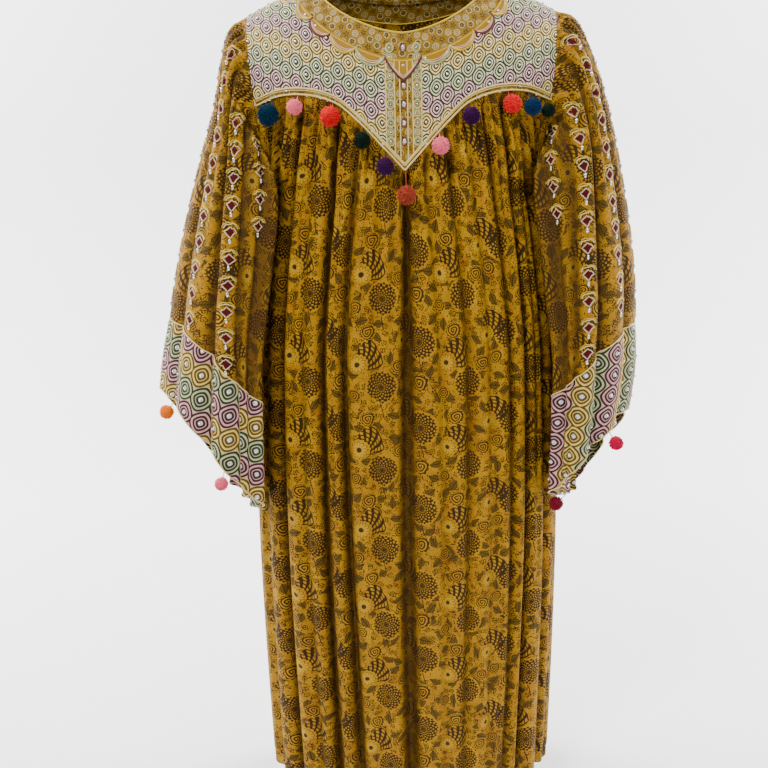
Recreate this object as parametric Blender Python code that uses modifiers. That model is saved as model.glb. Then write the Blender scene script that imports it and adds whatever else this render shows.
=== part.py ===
"""A long gathered dress with an embroidered yoke, wide sleeves and hanging pompoms.

Units are metres, +Z is up and the wearer faces -Y. The origin is midway between the shoulder
points, at their height. Every cloth piece is a wall on one of three forms: the front of the
bodice and skirt, their back, and a sleeve. A form gives a point for a place across (0 to 1)
and a place down; folds are hollows between its ridges.
"""

import math
from collections import namedtuple

import bmesh
import bpy
import numpy as np
from mathutils import Matrix, Vector

# Cloth and seams
WALL = 0.0015
SEAM_GAP = 0.0003
GATHER_GAP = 0.0008
CUFF_GAP = 0.0021
TRIM_WALL = 0.0015
SEAM_FLAT = 0.006
SHOULDER_SEAM = 0.001
BODY_FOLD_START = 0.035
SLEEVE_FOLD_START = 0.06

# How far down a form an edge is looked for, between the shoulder and below the underarm
HIGHEST_PLACE = 0.2
LOWEST_PLACE = 1.2
LOWEST_GATHER = 1.4

# Shoulder line and armhole, which lies in a plane that leans in towards the underarm
SHOULDER_HALF = 0.213
SHOULDER_RISE = 0.058
UNDERARM_DROP = 0.235
ARMHOLE_LEAN = 0.09
ARMHOLE_HALF_DEPTH = 0.070

# Neckline and the band sewn round it
NECK_HALF = 0.118
NECK_FRONT_DROP = 0.065
NECK_BACK_DROP = 0.020
NECK_BAND = 0.026
NECK_FULLNESS = 1.6
NECK_ROUNDNESS = 0.68
NECK_CORNER_STEPS = (0.0, 0.003, 0.009, 0.018)

# Yoke
CENTRE_BAND_HALF = 0.0245
BACK_YOKE_Z = -0.118
TRIM_WIDTH = 0.0095

# Half widths and depths of the body below the underarm
HEM_Z = -1.218
BODY_SECTIONS = [
    # z, side, front, back
    (-0.235, 0.19185, 0.132, 0.108),
    (-0.280, 0.2040, 0.134, 0.110),
    (-0.340, 0.2145, 0.136, 0.112),
    (-0.450, 0.2260, 0.138, 0.115),
    (-0.600, 0.2360, 0.139, 0.118),
    (-0.800, 0.2430, 0.141, 0.122),
    (-1.000, 0.2440, 0.143, 0.126),
    (-1.218, 0.2420, 0.146, 0.130),
]
SECTION_BOXINESS = 0.13

# Lower edge of the front yoke: a point at the centre and a shallow arch on each side
YOKE_EDGE = [
    # distance from centre, z
    (0.000, -0.199),
    (0.030, -0.167),
    (0.060, -0.136),
    (0.085, -0.115),
    (0.110, -0.105),
    (0.140, -0.101),
    (0.170, -0.104),
    (0.200, -0.116),
]

# Hollows between the folds of the gathered front, from the wearer's right to left
FRONT_FOLDS = [
    # place at yoke, place at hem, depth under yoke, depth at hip, depth at hem
    (0.050, 0.040, 0.007, 0.009, 0.008),
    (0.125, 0.135, 0.007, 0.004, 0.003),
    (0.190, 0.225, 0.010, 0.012, 0.014),
    (0.250, 0.300, 0.006, 0.005, 0.006),
    (0.310, 0.352, 0.010, 0.015, 0.017),
    (0.370, 0.405, 0.008, 0.012, 0.012),
    (0.435, 0.452, 0.006, 0.004, 0.003),
    (0.500, 0.500, 0.011, 0.015, 0.018),
    (0.560, 0.556, 0.007, 0.004, 0.003),
    (0.615, 0.600, 0.009, 0.006, 0.005),
    (0.675, 0.655, 0.006, 0.004, 0.003),
    (0.735, 0.705, 0.009, 0.010, 0.008),
    (0.795, 0.752, 0.010, 0.013, 0.015),
    (0.855, 0.845, 0.008, 0.009, 0.009),
    (0.925, 0.950, 0.008, 0.008, 0.007),
]
BACK_FOLDS = [
    # place at yoke, place at hem, depth under yoke, depth at hip, depth at hem
    (0.070, 0.060, 0.007, 0.009, 0.009),
    (0.150, 0.150, 0.008, 0.007, 0.006),
    (0.230, 0.245, 0.009, 0.012, 0.014),
    (0.310, 0.325, 0.007, 0.006, 0.005),
    (0.385, 0.400, 0.009, 0.012, 0.013),
    (0.460, 0.465, 0.007, 0.006, 0.005),
    (0.530, 0.525, 0.009, 0.012, 0.015),
    (0.605, 0.595, 0.007, 0.006, 0.006),
    (0.680, 0.670, 0.009, 0.012, 0.013),
    (0.760, 0.755, 0.007, 0.007, 0.007),
    (0.850, 0.850, 0.009, 0.010, 0.011),
    (0.935, 0.945, 0.007, 0.008, 0.008),
]
SLEEVE_FOLDS = [
    # turn from the outer line at armhole, turn at hem, depth at cap, at elbow, at hem
    (0.020, 0.030, 0.006, 0.006, 0.005),
    (0.120, 0.125, 0.006, 0.009, 0.008),
    (0.215, 0.215, 0.005, 0.007, 0.006),
    (0.320, 0.315, 0.004, 0.008, 0.009),
    (0.430, 0.425, 0.003, 0.006, 0.007),
    (0.540, 0.545, 0.003, 0.006, 0.006),
    (0.640, 0.650, 0.005, 0.010, 0.010),
    (0.735, 0.745, 0.006, 0.007, 0.006),
    (0.825, 0.830, 0.006, 0.009, 0.009),
    (0.920, 0.925, 0.006, 0.007, 0.006),
]

# Sleeve rings, each from its outer point to its inner point, with the front of the ring drawn in
# towards the body and raised, and its back hanging lower
LEFT_SLEEVE = [
    # outer x, outer z, inner x, inner z, middle y, half depth, front in, front rise, back drop
    (0.213, 0.000, 0.19185, -0.235, 0.000, 0.070, 0.000, 0.000, 0.000),
    (0.242, -0.010, 0.2000, -0.248, -0.002, 0.083, 0.000, 0.000, 0.000),
    (0.266, -0.052, 0.2100, -0.282, -0.006, 0.092, 0.004, 0.000, 0.000),
    (0.287, -0.110, 0.2180, -0.330, -0.010, 0.098, 0.010, 0.002, 0.006),
    (0.306, -0.180, 0.2270, -0.385, -0.015, 0.104, 0.022, 0.004, 0.012),
    (0.327, -0.280, 0.2330, -0.455, -0.020, 0.110, 0.034, 0.008, 0.026),
    (0.341, -0.370, 0.2370, -0.515, -0.024, 0.116, 0.043, 0.014, 0.048),
    (0.347, -0.450, 0.2410, -0.580, -0.026, 0.121, 0.051, 0.021, 0.070),
    (0.351, -0.515, 0.2450, -0.650, -0.026, 0.124, 0.057, 0.018, 0.088),
    (0.346, -0.585, 0.2465, -0.728, -0.026, 0.125, 0.060, 0.012, 0.100),
]
RIGHT_SLEEVE = [
    # outer x, outer z, inner x, inner z, middle y, half depth, front in, front rise, back drop
    (0.213, 0.000, 0.19185, -0.235, 0.000, 0.070, 0.000, 0.000, 0.000),
    (0.238, -0.014, 0.2000, -0.248, -0.002, 0.083, 0.000, 0.000, 0.000),
    (0.254, -0.060, 0.2100, -0.282, -0.006, 0.092, 0.004, 0.000, 0.000),
    (0.267, -0.118, 0.2180, -0.330, -0.010, 0.098, 0.010, 0.002, 0.006),
    (0.291, -0.190, 0.2270, -0.385, -0.015, 0.104, 0.022, 0.004, 0.012),
    (0.317, -0.275, 0.2330, -0.450, -0.020, 0.110, 0.034, 0.008, 0.026),
    (0.338, -0.355, 0.2370, -0.515, -0.026, 0.115, 0.043, 0.014, 0.045),
    (0.354, -0.425, 0.2410, -0.580, -0.030, 0.120, 0.051, 0.012, 0.066),
    (0.368, -0.480, 0.2450, -0.655, -0.030, 0.123, 0.057, 0.000, 0.078),
    (0.378, -0.532, 0.2465, -0.730, -0.030, 0.125, 0.060, -0.014, 0.088),
]
CUFF_TOP = 7
SLEEVE_LENGTH = 0.65

# Rows of the cloth: on the body from the yoke's edge (0) to the hem (1), and steps down a sleeve
# from the armhole and down a cuff from its seam
BODY_ROWS = (0, 0.004, 0.022, 0.055, 0.12, 0.22, 0.331, 0.345, 0.45, 0.58, 0.72, 0.86, 1.0)
SLEEVE_ROWS = (0, 0.008, 0.035, 0.09, 0.16, 0.25, 0.34, 0.44, 0.54, 0.66)
CUFF_ROWS = (0, 0.01, 0.07, 0.15)
SEAM_ROW = 0.01

# Pompoms: a ball with short locks, on a thread from the edge above it
LOCKS = 16
LOCK_SHARE = 0.30
THREAD_RADIUS = 0.0006
POMPOM_CLEAR = 0.0010
YOKE_POMPOMS = [
    # name, x, radius, drop of its middle below the edge, colour
    ("pompom_1_teal", -0.175, 0.0130, 0.0190, "teal"),
    ("pompom_2_rose", -0.141, 0.0095, 0.0130, "rose"),
    ("pompom_3_red", -0.094, 0.0120, 0.0155, "red"),
    ("pompom_4_green", -0.054, 0.0100, 0.0150, "green"),
    ("pompom_5_purple", -0.025, 0.0105, 0.0180, "purple"),
    ("pompom_6_rust", 0.001, 0.0115, 0.0300, "rust"),
    ("pompom_7_rose", 0.046, 0.0105, 0.0150, "rose"),
    ("pompom_8_purple", 0.086, 0.0105, 0.0140, "purple"),
    ("pompom_9_red", 0.140, 0.0110, 0.0145, "red"),
    ("pompom_10_blue", 0.168, 0.0105, 0.0170, "blue"),
    ("pompom_11_green", 0.191, 0.0085, 0.0150, "green"),
]
CUFF_POMPOMS = [
    # name, side, turn round the hem, radius, thread length, colour
    ("cuff_pompom_1_orange", -1, 0.925, 0.0095, 0.004, "orange"),
    ("cuff_pompom_2_rose", -1, 0.784, 0.0090, 0.005, "rose"),
    ("cuff_pompom_3_crimson", 1, 0.877, 0.0095, 0.006, "crimson"),
    ("cuff_pompom_4_maroon", 1, 0.650, 0.0095, 0.005, "maroon"),
]

COLOURS = {
    "print": (0.50, 0.30, 0.035),
    "embroidery": (0.55, 0.53, 0.38),
    "gold": (0.52, 0.34, 0.06),
    "trim": (0.45, 0.34, 0.10),
    "teal": (0.010, 0.060, 0.110),
    "rose": (0.80, 0.22, 0.30),
    "red": (0.62, 0.018, 0.022),
    "green": (0.010, 0.045, 0.030),
    "purple": (0.070, 0.012, 0.095),
    "rust": (0.30, 0.045, 0.020),
    "blue": (0.012, 0.080, 0.220),
    "orange": (0.80, 0.20, 0.015),
    "crimson": (0.52, 0.008, 0.060),
    "maroon": (0.18, 0.012, 0.025),
}


def curve_through(places, values, at):
    """A smooth curve through the values given at these places, read at other places."""
    places = np.asarray(places, float)
    values = np.asarray(values, float)
    at = np.clip(at, places[0], places[-1])
    slopes = np.gradient(values, places)
    i = np.clip(np.searchsorted(places, at) - 1, 0, len(places) - 2)
    span = places[i + 1] - places[i]
    t = (at - places[i]) / span
    rise = t * t * (3 - 2 * t)
    start = t * (1 - t) ** 2 * span * slopes[i]
    end = -(t**2) * (1 - t) * span * slopes[i + 1]
    return values[i] * (1 - rise) + values[i + 1] * rise + start + end


def column(rows, number):
    return [row[number] for row in rows]


def ease(x):
    x = np.clip(x, 0, 1)
    return x * x * (3 - 2 * x)


def solve_down(height_at, target, low, high, like):
    """The place down a form, between low and high, where it comes down to a target height."""
    top = np.full_like(like, low)
    bottom = np.full_like(like, high)
    for _ in range(40):
        middle = (top + bottom) / 2
        above = height_at(middle) > target(middle)
        top = np.where(above, middle, top)
        bottom = np.where(above, bottom, middle)
    return (top + bottom) / 2


def body_section(down, face):
    """Edge x, y and z, centre y and z of a body section: 0 is the shoulder, 1 the underarm, 2 the hem."""
    turn = np.pi * np.clip(down, 1e-5, 1)
    z_low = -UNDERARM_DROP - (down - 1) * (-HEM_Z - UNDERARM_DROP)
    upper = down < 1
    edge_z = np.where(upper, -UNDERARM_DROP * (1 - np.cos(turn)) / 2, z_low)
    reach = SHOULDER_RISE + UNDERARM_DROP
    centre_z = np.where(upper, SHOULDER_RISE - reach * (1 - np.cos(turn)) / 2, z_low)
    heights = [-row[0] for row in BODY_SECTIONS]
    depths = column(BODY_SECTIONS, 2 if face < 0 else 3)
    level = np.cos(turn / 2) ** 2
    rounded = depths[0] * np.sqrt(1 - level**2)
    centre_y = np.where(upper, rounded, curve_through(heights, depths, -z_low))
    edge_y = np.where(upper, ARMHOLE_HALF_DEPTH * np.sin(turn), 0.0)
    side = curve_through(heights, column(BODY_SECTIONS, 1), -z_low)
    edge_x = np.where(upper, SHOULDER_HALF + ARMHOLE_LEAN * edge_z, side)
    return edge_x, edge_y, edge_z, centre_y, centre_z


def body_point(across, down, face):
    """Points of the front (face -1) or back (face 1) of the body, from the wearer's right to left."""
    across, down = np.broadcast_arrays(np.asarray(across, float), np.asarray(down, float))
    edge_x, edge_y, edge_z, centre_y, centre_z = body_section(down, face)
    sweep = np.arccos(np.clip(edge_y / centre_y, 0, 0.999))
    seam = np.where(down < 1, 0.0, SEAM_GAP / 2 / centre_y)
    angle = (2 * across - 1) * (sweep - seam)
    power = 1 - SECTION_BOXINESS * ease((down - 1) * 4)
    half = edge_x / np.sin(sweep)
    x = half * np.sign(angle) * np.abs(np.sin(angle)) ** power
    y = face * centre_y * np.abs(np.cos(angle)) ** power
    z = edge_z + (centre_z - edge_z) * (1 - np.clip(np.abs(x) / edge_x, 0, 1) ** 2)
    return np.stack([x, y, z], -1)


def across_of(x, down, face):
    """The place across the body where it has this x."""
    edge_x, edge_y, _, centre_y, _ = body_section(np.asarray(down, float), face)
    sweep = np.arccos(np.clip(edge_y / centre_y, 0, 0.999))
    return (np.arcsin(np.clip(x * np.sin(sweep) / edge_x, -1, 1)) / sweep + 1) / 2


def sleeve_point(turn, down, rows):
    """Points of a sleeve: turn goes once round from the outer line by the back, down from armhole to hem."""
    turn, down = np.broadcast_arrays(np.asarray(turn, float), np.asarray(down, float))
    places = np.linspace(0, 1, len(rows))
    ox, oz, ix, iz, my, depth, front_in, front_rise, back_drop = (
        curve_through(places, column(rows, k), down) for k in range(9)
    )
    angle = 2 * np.pi * turn
    c, s = np.cos(angle), np.sin(angle)
    front, back = (s * s - s) / 2, (s * s + s) / 2
    x = (ox + ix) / 2 + (ox - ix) / 2 * c - front_in * front + GATHER_GAP
    y = my + depth * s
    z = (oz + iz) / 2 + (oz - iz) / 2 * c + front_rise * front - back_drop * back
    return np.stack([x, y, z], -1)


def outward(point_at, across, down):
    """Unit normals of a form, facing out when across runs to the wearer's left on the front."""
    step = 1e-4
    along = point_at(across + step, down) - point_at(across - step, down)
    below = point_at(across, down + step) - point_at(across, down - step)
    normal = np.cross(below, along)
    return normal / np.maximum(np.linalg.norm(normal, axis=-1, keepdims=True), 1e-12)


def hollow(across, down, folds, start, wrap=False):
    """How far the cloth dips between the ridges of its folds, which open out from the top to start."""
    at_top = np.array(column(folds, 0))
    at_hem = np.array(column(folds, 1))
    depths = [np.array(column(folds, k)) for k in (2, 3, 4)]
    if wrap:
        at_top = np.concatenate([[at_top[-1] - 1], at_top, [at_top[0] + 1]])
        at_hem = np.concatenate([[at_hem[-1] - 1], at_hem, [at_hem[0] + 1]])
        depths = [np.concatenate([d[-1:], d, d[:1]]) for d in depths]
    else:
        at_top = np.concatenate([[-at_top[0]], at_top, [2 - at_top[-1]]])
        at_hem = np.concatenate([[-at_hem[0]], at_hem, [2 - at_hem[-1]]])
        depths = [np.concatenate([d[:1], d, d[-1:]]) for d in depths]
    places = at_top + (at_hem - at_top) * down[..., None]
    i = np.clip((across[..., None] >= places).sum(-1) - 1, 0, len(at_top) - 2)
    left = np.take_along_axis(places, i[..., None], -1)[..., 0]
    right = np.take_along_axis(places, i[..., None] + 1, -1)[..., 0]
    t = np.clip((across - left) / (right - left), 0, 1)
    upper, lower = ease(down / 0.45), ease((down - 0.45) / 0.55)
    depth = depths[0] * (1 - upper)[..., None] + depths[1] * (upper - lower)[..., None]
    depth = depth + depths[2] * lower[..., None]
    here = np.take_along_axis(depth, i[..., None], -1)[..., 0] * (1 - ease(t))
    here = here + np.take_along_axis(depth, i[..., None] + 1, -1)[..., 0] * ease(t)
    return here * (1 - np.sin(np.pi * t)) * ease(down / start)


def fold_columns(folds, wrap=False):
    """Places at the top and the hem of the columns that follow the folds: hollow, slopes and ridge."""
    tops, hems = column(folds, 0), column(folds, 1)
    if wrap:
        tops, hems = [*tops, tops[0] + 1], [*hems, hems[0] + 1]
    else:
        ends = (0.0, SEAM_FLAT, 1 - SEAM_FLAT, 1.0)
        tops, hems = [*ends[:2], *tops, *ends[2:]], [*ends[:2], *hems, *ends[2:]]
    shares = (0.0, 0.16, 0.5, 0.84)
    found = [[], []]
    for places, out in zip((tops, hems), found):
        for left, right in zip(places, places[1:]):
            parts = shares if right - left > SEAM_FLAT * 1.01 else shares[:1]
            out += [left + (right - left) * share for share in parts]
        out.append(places[-1])
    return np.array(found[0]), np.array(found[1])


def yoke_edge(x):
    return curve_through(column(YOKE_EDGE, 0), column(YOKE_EDGE, 1), np.abs(x))


def neck_edge(x, out, drop):
    """Height of the neckline, or of the band's outer edge when out is the band's width."""
    half = NECK_HALF + out
    start = SHOULDER_RISE * (1 - (half / SHOULDER_HALF) ** 2)
    bow = (1 - np.clip(np.abs(x) / half, 0, 1) ** NECK_FULLNESS) ** NECK_ROUNDNESS
    return start - (drop + out) * bow


def material(name):
    made = bpy.data.materials.get(name)
    if made is None:
        made = bpy.data.materials.new(name)
        made.use_nodes = True
        shader = made.node_tree.nodes["Principled BSDF"]
        shader.inputs["Base Color"].default_value = (*COLOURS[name], 1)
        shader.inputs["Roughness"].default_value = 0.8
        shader.inputs["Metallic"].default_value = 0.0
    return made


def add_object(name, mesh, colour, group):
    made = bpy.data.objects.new(name, mesh)
    made.data.materials.append(material(colour))
    group.objects.link(made)
    return made


def facing(grid, face):
    """A grid with its columns ordered so that its faces point out."""
    grid = np.array(grid)
    return grid if face < 0 else grid[:, ::-1]


def cloth(name, points, colour, group, closed=False, wall=WALL):
    """A cloth wall on a grid of outer points: rows go down, columns across."""
    rows, columns = points.shape[:2]
    mesh = bpy.data.meshes.new(name)
    work = bmesh.new()
    bmesh.ops.create_grid(work, x_segments=columns - 1, y_segments=rows - 1, size=0.5)
    for vertex in work.verts:
        i = round((0.5 - vertex.co.y) * (rows - 1))
        j = round((vertex.co.x + 0.5) * (columns - 1))
        vertex.co = points[i, j]
    if closed:
        bmesh.ops.remove_doubles(work, verts=work.verts, dist=1e-6)
    work.to_mesh(mesh)
    work.free()
    mesh.shade_smooth()
    made = add_object(name, mesh, colour, group)
    solid = made.modifiers.new("wall", "SOLIDIFY")
    solid.thickness = wall
    solid.offset = -1
    return made


Look = namedtuple("Look", "colour group")
Outline = namedtuple("Outline", "left right top bottom corners", defaults=((),))


def panel(name, outline, size, face, look, raised=False):
    """A panel sewn flat between two sides (places across) and two edges (heights by x)."""
    columns, rows = size
    share = np.linspace(0, 1, columns)
    steps = np.concatenate([[0, 0.012], np.linspace(0, 1, rows)[1:]])
    left, right, top, bottom, corners = outline
    for corner in corners:
        place = across_of(corner, SHOULDER_SEAM, face)
        start, end = left(SHOULDER_SEAM), right(SHOULDER_SEAM)
        place = (place - start) / (end - start)
        kept = np.abs(share - place) > 0.4 / columns
        share = np.sort(np.append(share[kept], place))

    def across(down):
        return left(down) * (1 - share) + right(down) * share

    def form(down):
        return body_point(across(down), down, face)

    def edge_place(edge):
        return solve_down(lambda d: form(d)[..., 2], lambda d: edge(form(d)[..., 0]), 0.0, LOWEST_PLACE, share)

    top_place, bottom_place = edge_place(top), edge_place(bottom)
    grid = []
    for step in steps:
        down = np.maximum(top_place * (1 - step) + bottom_place * step, SHOULDER_SEAM)
        points = form(down)
        if raised:
            points = points + outward(lambda a, d: body_point(a, d, face), across(down), down) * SEAM_GAP
        grid.append(points)
    cloth(name, facing(grid, face), look.colour, look.group, wall=-TRIM_WALL if raised else WALL)


def gathered_panel(name, folds, edge, face, look):
    """The long gathered front or back, hung from the yoke's edge to the hem."""
    at_top, at_hem = fold_columns(folds)

    def columns_at(down):
        reach = np.clip((down - 0.5) / 1.5, 0, 1)
        return at_top + (at_hem - at_top) * reach

    def height(down):
        return body_point(columns_at(down), down, face)[..., 2]

    def target(down):
        return edge(body_point(columns_at(down), down, face)[..., 0]) - GATHER_GAP

    top_place = solve_down(height, target, HIGHEST_PLACE, LOWEST_GATHER, at_top)
    grid = []
    for q in BODY_ROWS:
        down = top_place * (1 - q) + 2.0 * q
        across = columns_at(down)
        points = body_point(across, down, face)
        normal = outward(lambda a, d: body_point(a, d, face), across, down)
        normal = normal * (1 if face < 0 else -1)
        dip = hollow(across, np.full_like(across, q), folds, BODY_FOLD_START)
        grid.append(points - normal * dip[..., None])
    return cloth(name, facing(grid, face), look.colour, look.group)


def sleeve_grid(rows, downs, side):
    at_top, at_hem = fold_columns(SLEEVE_FOLDS, wrap=True)
    grid = []
    for down in downs:
        turn = at_top + (at_hem - at_top) * down
        place = np.full_like(turn, down)
        points = sleeve_point(turn, place, rows)
        ahead = np.clip(place, 2e-4, 1 - 2e-4)
        normal = outward(lambda t, d: sleeve_point(t, d, rows), turn, ahead)
        dip = hollow(turn, place, SLEEVE_FOLDS, SLEEVE_FOLD_START, wrap=True)
        grid.append(points - normal * dip[..., None])
    grid = np.array(grid)
    grid[..., 0] *= side
    return grid[:, ::-1] if side < 0 else grid


def add_sleeve(word, rows, side, group):
    cuff_place = CUFF_TOP / (len(rows) - 1)
    seam = cuff_place - CUFF_GAP / SLEEVE_LENGTH
    downs = [*SLEEVE_ROWS, seam - SEAM_ROW, seam]
    cloth("sleeve_" + word, sleeve_grid(rows, downs, side), "print", group, closed=True)
    downs = [*(cuff_place + row for row in CUFF_ROWS), 1.0]
    cloth("cuff_" + word, sleeve_grid(rows, downs, side), "embroidery", group, closed=True)


def neck_band(name, face, drop, columns, group):
    """Half of the band round the neck opening, from one shoulder seam to the other."""
    place = np.linspace(-1, 1, columns)
    place = np.concatenate([place[:1], [-0.985], place[1:-1], [0.985], place[-1:]])
    swing = np.sin(place * math.pi / 2)
    grid = []
    for out in (0.0, NECK_BAND / 2, NECK_BAND):
        x = swing * (NECK_HALF + out)
        target = neck_edge(x, out, drop)
        down = solve_down(
            lambda d: body_point(across_of(x, d, face), d, face)[..., 2],
            lambda d: target,
            SHOULDER_SEAM,
            LOWEST_PLACE,
            x,
        )
        points = body_point(across_of(x, down, face), down, face)
        points[..., 1] += face * SEAM_GAP * (np.abs(swing) > 0.999)
        grid.append(points)
    return cloth(name, facing(grid, face), "gold", group)


def add_yoke(group):
    """The front yoke in three panels with its trim, the back yoke, and the band round the neck."""

    def front_neck(x):
        return neck_edge(x, NECK_BAND, NECK_FRONT_DROP) - GATHER_GAP

    def back_neck(x):
        return neck_edge(x, NECK_BAND, NECK_BACK_DROP) - GATHER_GAP

    def back_yoke_edge(x):
        return BACK_YOKE_Z + 0 * x

    def at(x):
        return lambda down: across_of(x, down, -1)

    side_gap = CENTRE_BAND_HALF + SEAM_GAP
    corner = NECK_HALF + NECK_BAND + GATHER_GAP
    bends = [corner - step for step in NECK_CORNER_STEPS]
    mirrored = [-x for x in bends]
    ends = (lambda down: 0.0, lambda down: 1.0)
    stitched = Look("embroidery", group)
    right = Outline(ends[0], at(-side_gap), front_neck, yoke_edge, mirrored)
    left = Outline(at(side_gap), ends[1], front_neck, yoke_edge, bends)
    centre = Outline(at(-CENTRE_BAND_HALF), at(CENTRE_BAND_HALF), front_neck, yoke_edge)
    back = Outline(*ends, back_neck, back_yoke_edge, mirrored + bends)
    trim = Outline(*ends, lambda x: yoke_edge(x) + TRIM_WIDTH, lambda x: yoke_edge(x) + SEAM_GAP)
    panel("yoke_right", right, (27, 6), -1, stitched)
    panel("yoke_left", left, (27, 6), -1, stitched)
    panel("yoke_centre", centre, (7, 6), -1, Look("gold", group))
    panel("yoke_back", back, (33, 6), 1, Look("print", group))
    panel("yoke_trim", trim, (45, 2), -1, Look("trim", group), raised=True)
    neck_band("neck_band_front", -1, NECK_FRONT_DROP, 29, group)
    neck_band("neck_band_back", 1, NECK_BACK_DROP, 29, group)


def pompom(name, edge_point, centre, radius, colour, group):
    """A ball of short locks, its middle at centre from the edge point that its thread hangs on."""
    centre = Vector(centre)
    work = bmesh.new()
    bmesh.ops.create_icosphere(work, subdivisions=2, radius=radius, matrix=Matrix.Translation(centre))
    top = min(work.faces, key=lambda face: face.calc_center_median().length)
    sides = [face for face in work.faces if face is not top]
    for tuft in [sides[k * len(sides) // LOCKS] for k in range(LOCKS)]:
        outwards = (tuft.calc_center_median() - centre).normalized()
        tip = bmesh.ops.poke(work, faces=[tuft])["verts"][0]
        tip.co += outwards * radius * LOCK_SHARE
    thread = bmesh.ops.extrude_face_region(work, geom=[top])
    work.faces.remove(top)
    middle = centre.normalized() * SEAM_GAP
    ring = [item for item in thread["geom"] if isinstance(item, bmesh.types.BMVert)]
    hub = sum((vertex.co for vertex in ring), Vector()) / len(ring)
    for vertex in ring:
        vertex.co = middle + (vertex.co - hub).normalized() * THREAD_RADIUS
    bmesh.ops.recalc_face_normals(work, faces=work.faces)
    mesh = bpy.data.meshes.new(name)
    work.to_mesh(mesh)
    work.free()
    made = add_object(name, mesh, colour, group)
    made.location = edge_point
    return made


def add_pompoms(group):
    def form(across, down):
        return body_point(across, down, -1)

    for name, x, radius, drop, colour in YOKE_POMPOMS:
        down = solve_down(
            lambda d: form(across_of(x, d, -1), d)[..., 2],
            lambda d: yoke_edge(x) - THREAD_RADIUS * 2,
            HIGHEST_PLACE,
            LOWEST_PLACE,
            np.array([0.0]),
        )[0]
        across = across_of(x, down, -1)
        normal = outward(form, across, down) * (1, 1, 0)
        normal = normal / np.linalg.norm(normal)
        edge_point = form(across, down) + normal * (SEAM_GAP + TRIM_WALL / 2)
        reach = radius * (1 + LOCK_SHARE) - TRIM_WALL / 2 + POMPOM_CLEAR
        pompom(name, edge_point, (*(normal * reach)[:2], -drop), radius, colour, group)
    for name, side, turn, radius, thread, colour in CUFF_POMPOMS:
        rows = LEFT_SLEEVE if side > 0 else RIGHT_SLEEVE
        place = np.array([turn])
        point = sleeve_point(place, 1.0, rows)[0]
        normal = outward(lambda t, d: sleeve_point(t, d, rows), place, np.array([0.9998]))[0]
        dip = hollow(place, np.array([1.0]), SLEEVE_FOLDS, SLEEVE_FOLD_START, wrap=True)[0]
        point = point - normal * (dip + WALL / 2) - (0, 0, THREAD_RADIUS)
        reach = normal * (1, 1, 0) * (radius * (1 + LOCK_SHARE) + POMPOM_CLEAR)
        centre = (reach[0] * side, reach[1], -radius - thread)
        pompom(name, point * (side, 1, 1), centre, radius, colour, group)


def build():
    for old in list(bpy.data.objects):
        bpy.data.objects.remove(old)
    group = bpy.data.collections.new("gathered_dress")
    bpy.context.scene.collection.children.link(group)
    add_yoke(group)
    printed = Look("print", group)
    gathered_panel("body_front", FRONT_FOLDS, yoke_edge, -1, printed)
    gathered_panel("body_back", BACK_FOLDS, lambda x: BACK_YOKE_Z + 0 * x, 1, printed)
    add_sleeve("left", LEFT_SLEEVE, 1, group)
    add_sleeve("right", RIGHT_SLEEVE, -1, group)
    add_pompoms(group)


build()
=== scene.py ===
"""Looks of a long gathered dress with an embroidered yoke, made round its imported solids.

Units are metres, +Z is up and the wearer faces -Y. Cloth pieces are thin sheets on the same forms
as the solids: the front of the bodice and skirt, their back, and a sleeve. Each sheet has a map in
millimetres of flat cloth, which the print and the embroidery are drawn on.
"""

import logging
import math
from collections.abc import Callable, Sequence
from dataclasses import dataclass
from enum import Enum

import bmesh
import bpy
import numpy as np
from mathutils import Matrix, Vector


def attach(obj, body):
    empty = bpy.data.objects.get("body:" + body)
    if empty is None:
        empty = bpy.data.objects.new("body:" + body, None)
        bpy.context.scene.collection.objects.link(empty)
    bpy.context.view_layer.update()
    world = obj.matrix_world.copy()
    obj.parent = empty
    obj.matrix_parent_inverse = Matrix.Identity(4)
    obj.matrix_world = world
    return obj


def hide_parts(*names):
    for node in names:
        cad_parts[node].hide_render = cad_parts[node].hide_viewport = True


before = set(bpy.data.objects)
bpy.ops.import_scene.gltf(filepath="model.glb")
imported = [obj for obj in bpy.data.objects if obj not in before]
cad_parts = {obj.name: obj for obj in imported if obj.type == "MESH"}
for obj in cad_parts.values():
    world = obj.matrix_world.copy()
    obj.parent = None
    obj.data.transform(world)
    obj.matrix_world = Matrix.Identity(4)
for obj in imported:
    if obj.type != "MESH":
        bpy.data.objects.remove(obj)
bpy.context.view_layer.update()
LOG = logging.getLogger("dress")
MAP = "cloth_mm"
# Point attribute of painted shade: how deep each point of the cloth lies in a fold, which darkens the printed
# cloth there
PAINTED_SHADE_ATTRIBUTE = "hollow"
MM = 0.001

# Cloth and seams, as in the solids
SEAM_GAP = 0.0003
GATHER_GAP = 0.0008
CUFF_GAP = 0.0021
TRIM_WALL = 0.0015
SHOULDER_SEAM = 0.001
SHOULDER_HALF = 0.213
SHOULDER_RISE = 0.058
UNDERARM_DROP = 0.235
ARMHOLE_LEAN = 0.09
ARMHOLE_HALF_DEPTH = 0.070
NECK_HALF = 0.118
NECK_FRONT_DROP = 0.065
NECK_BACK_DROP = 0.020
NECK_BAND = 0.026
NECK_FULLNESS = 1.6
NECK_ROUNDNESS = 0.68
CENTRE_BAND_HALF = 0.0245
BACK_YOKE_Z = -0.118
TRIM_WIDTH = 0.0095
HEM_Z = -1.218
SECTION_BOXINESS = 0.13
SLEEVE_LENGTH = 0.65
SLEEVE_HELD = 0.06
LOWEST_SOLVED = 1.4
FOLD_ROUNDING = 0.012
CORD = 0.0008
CORD_TWIST = 250.0

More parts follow.
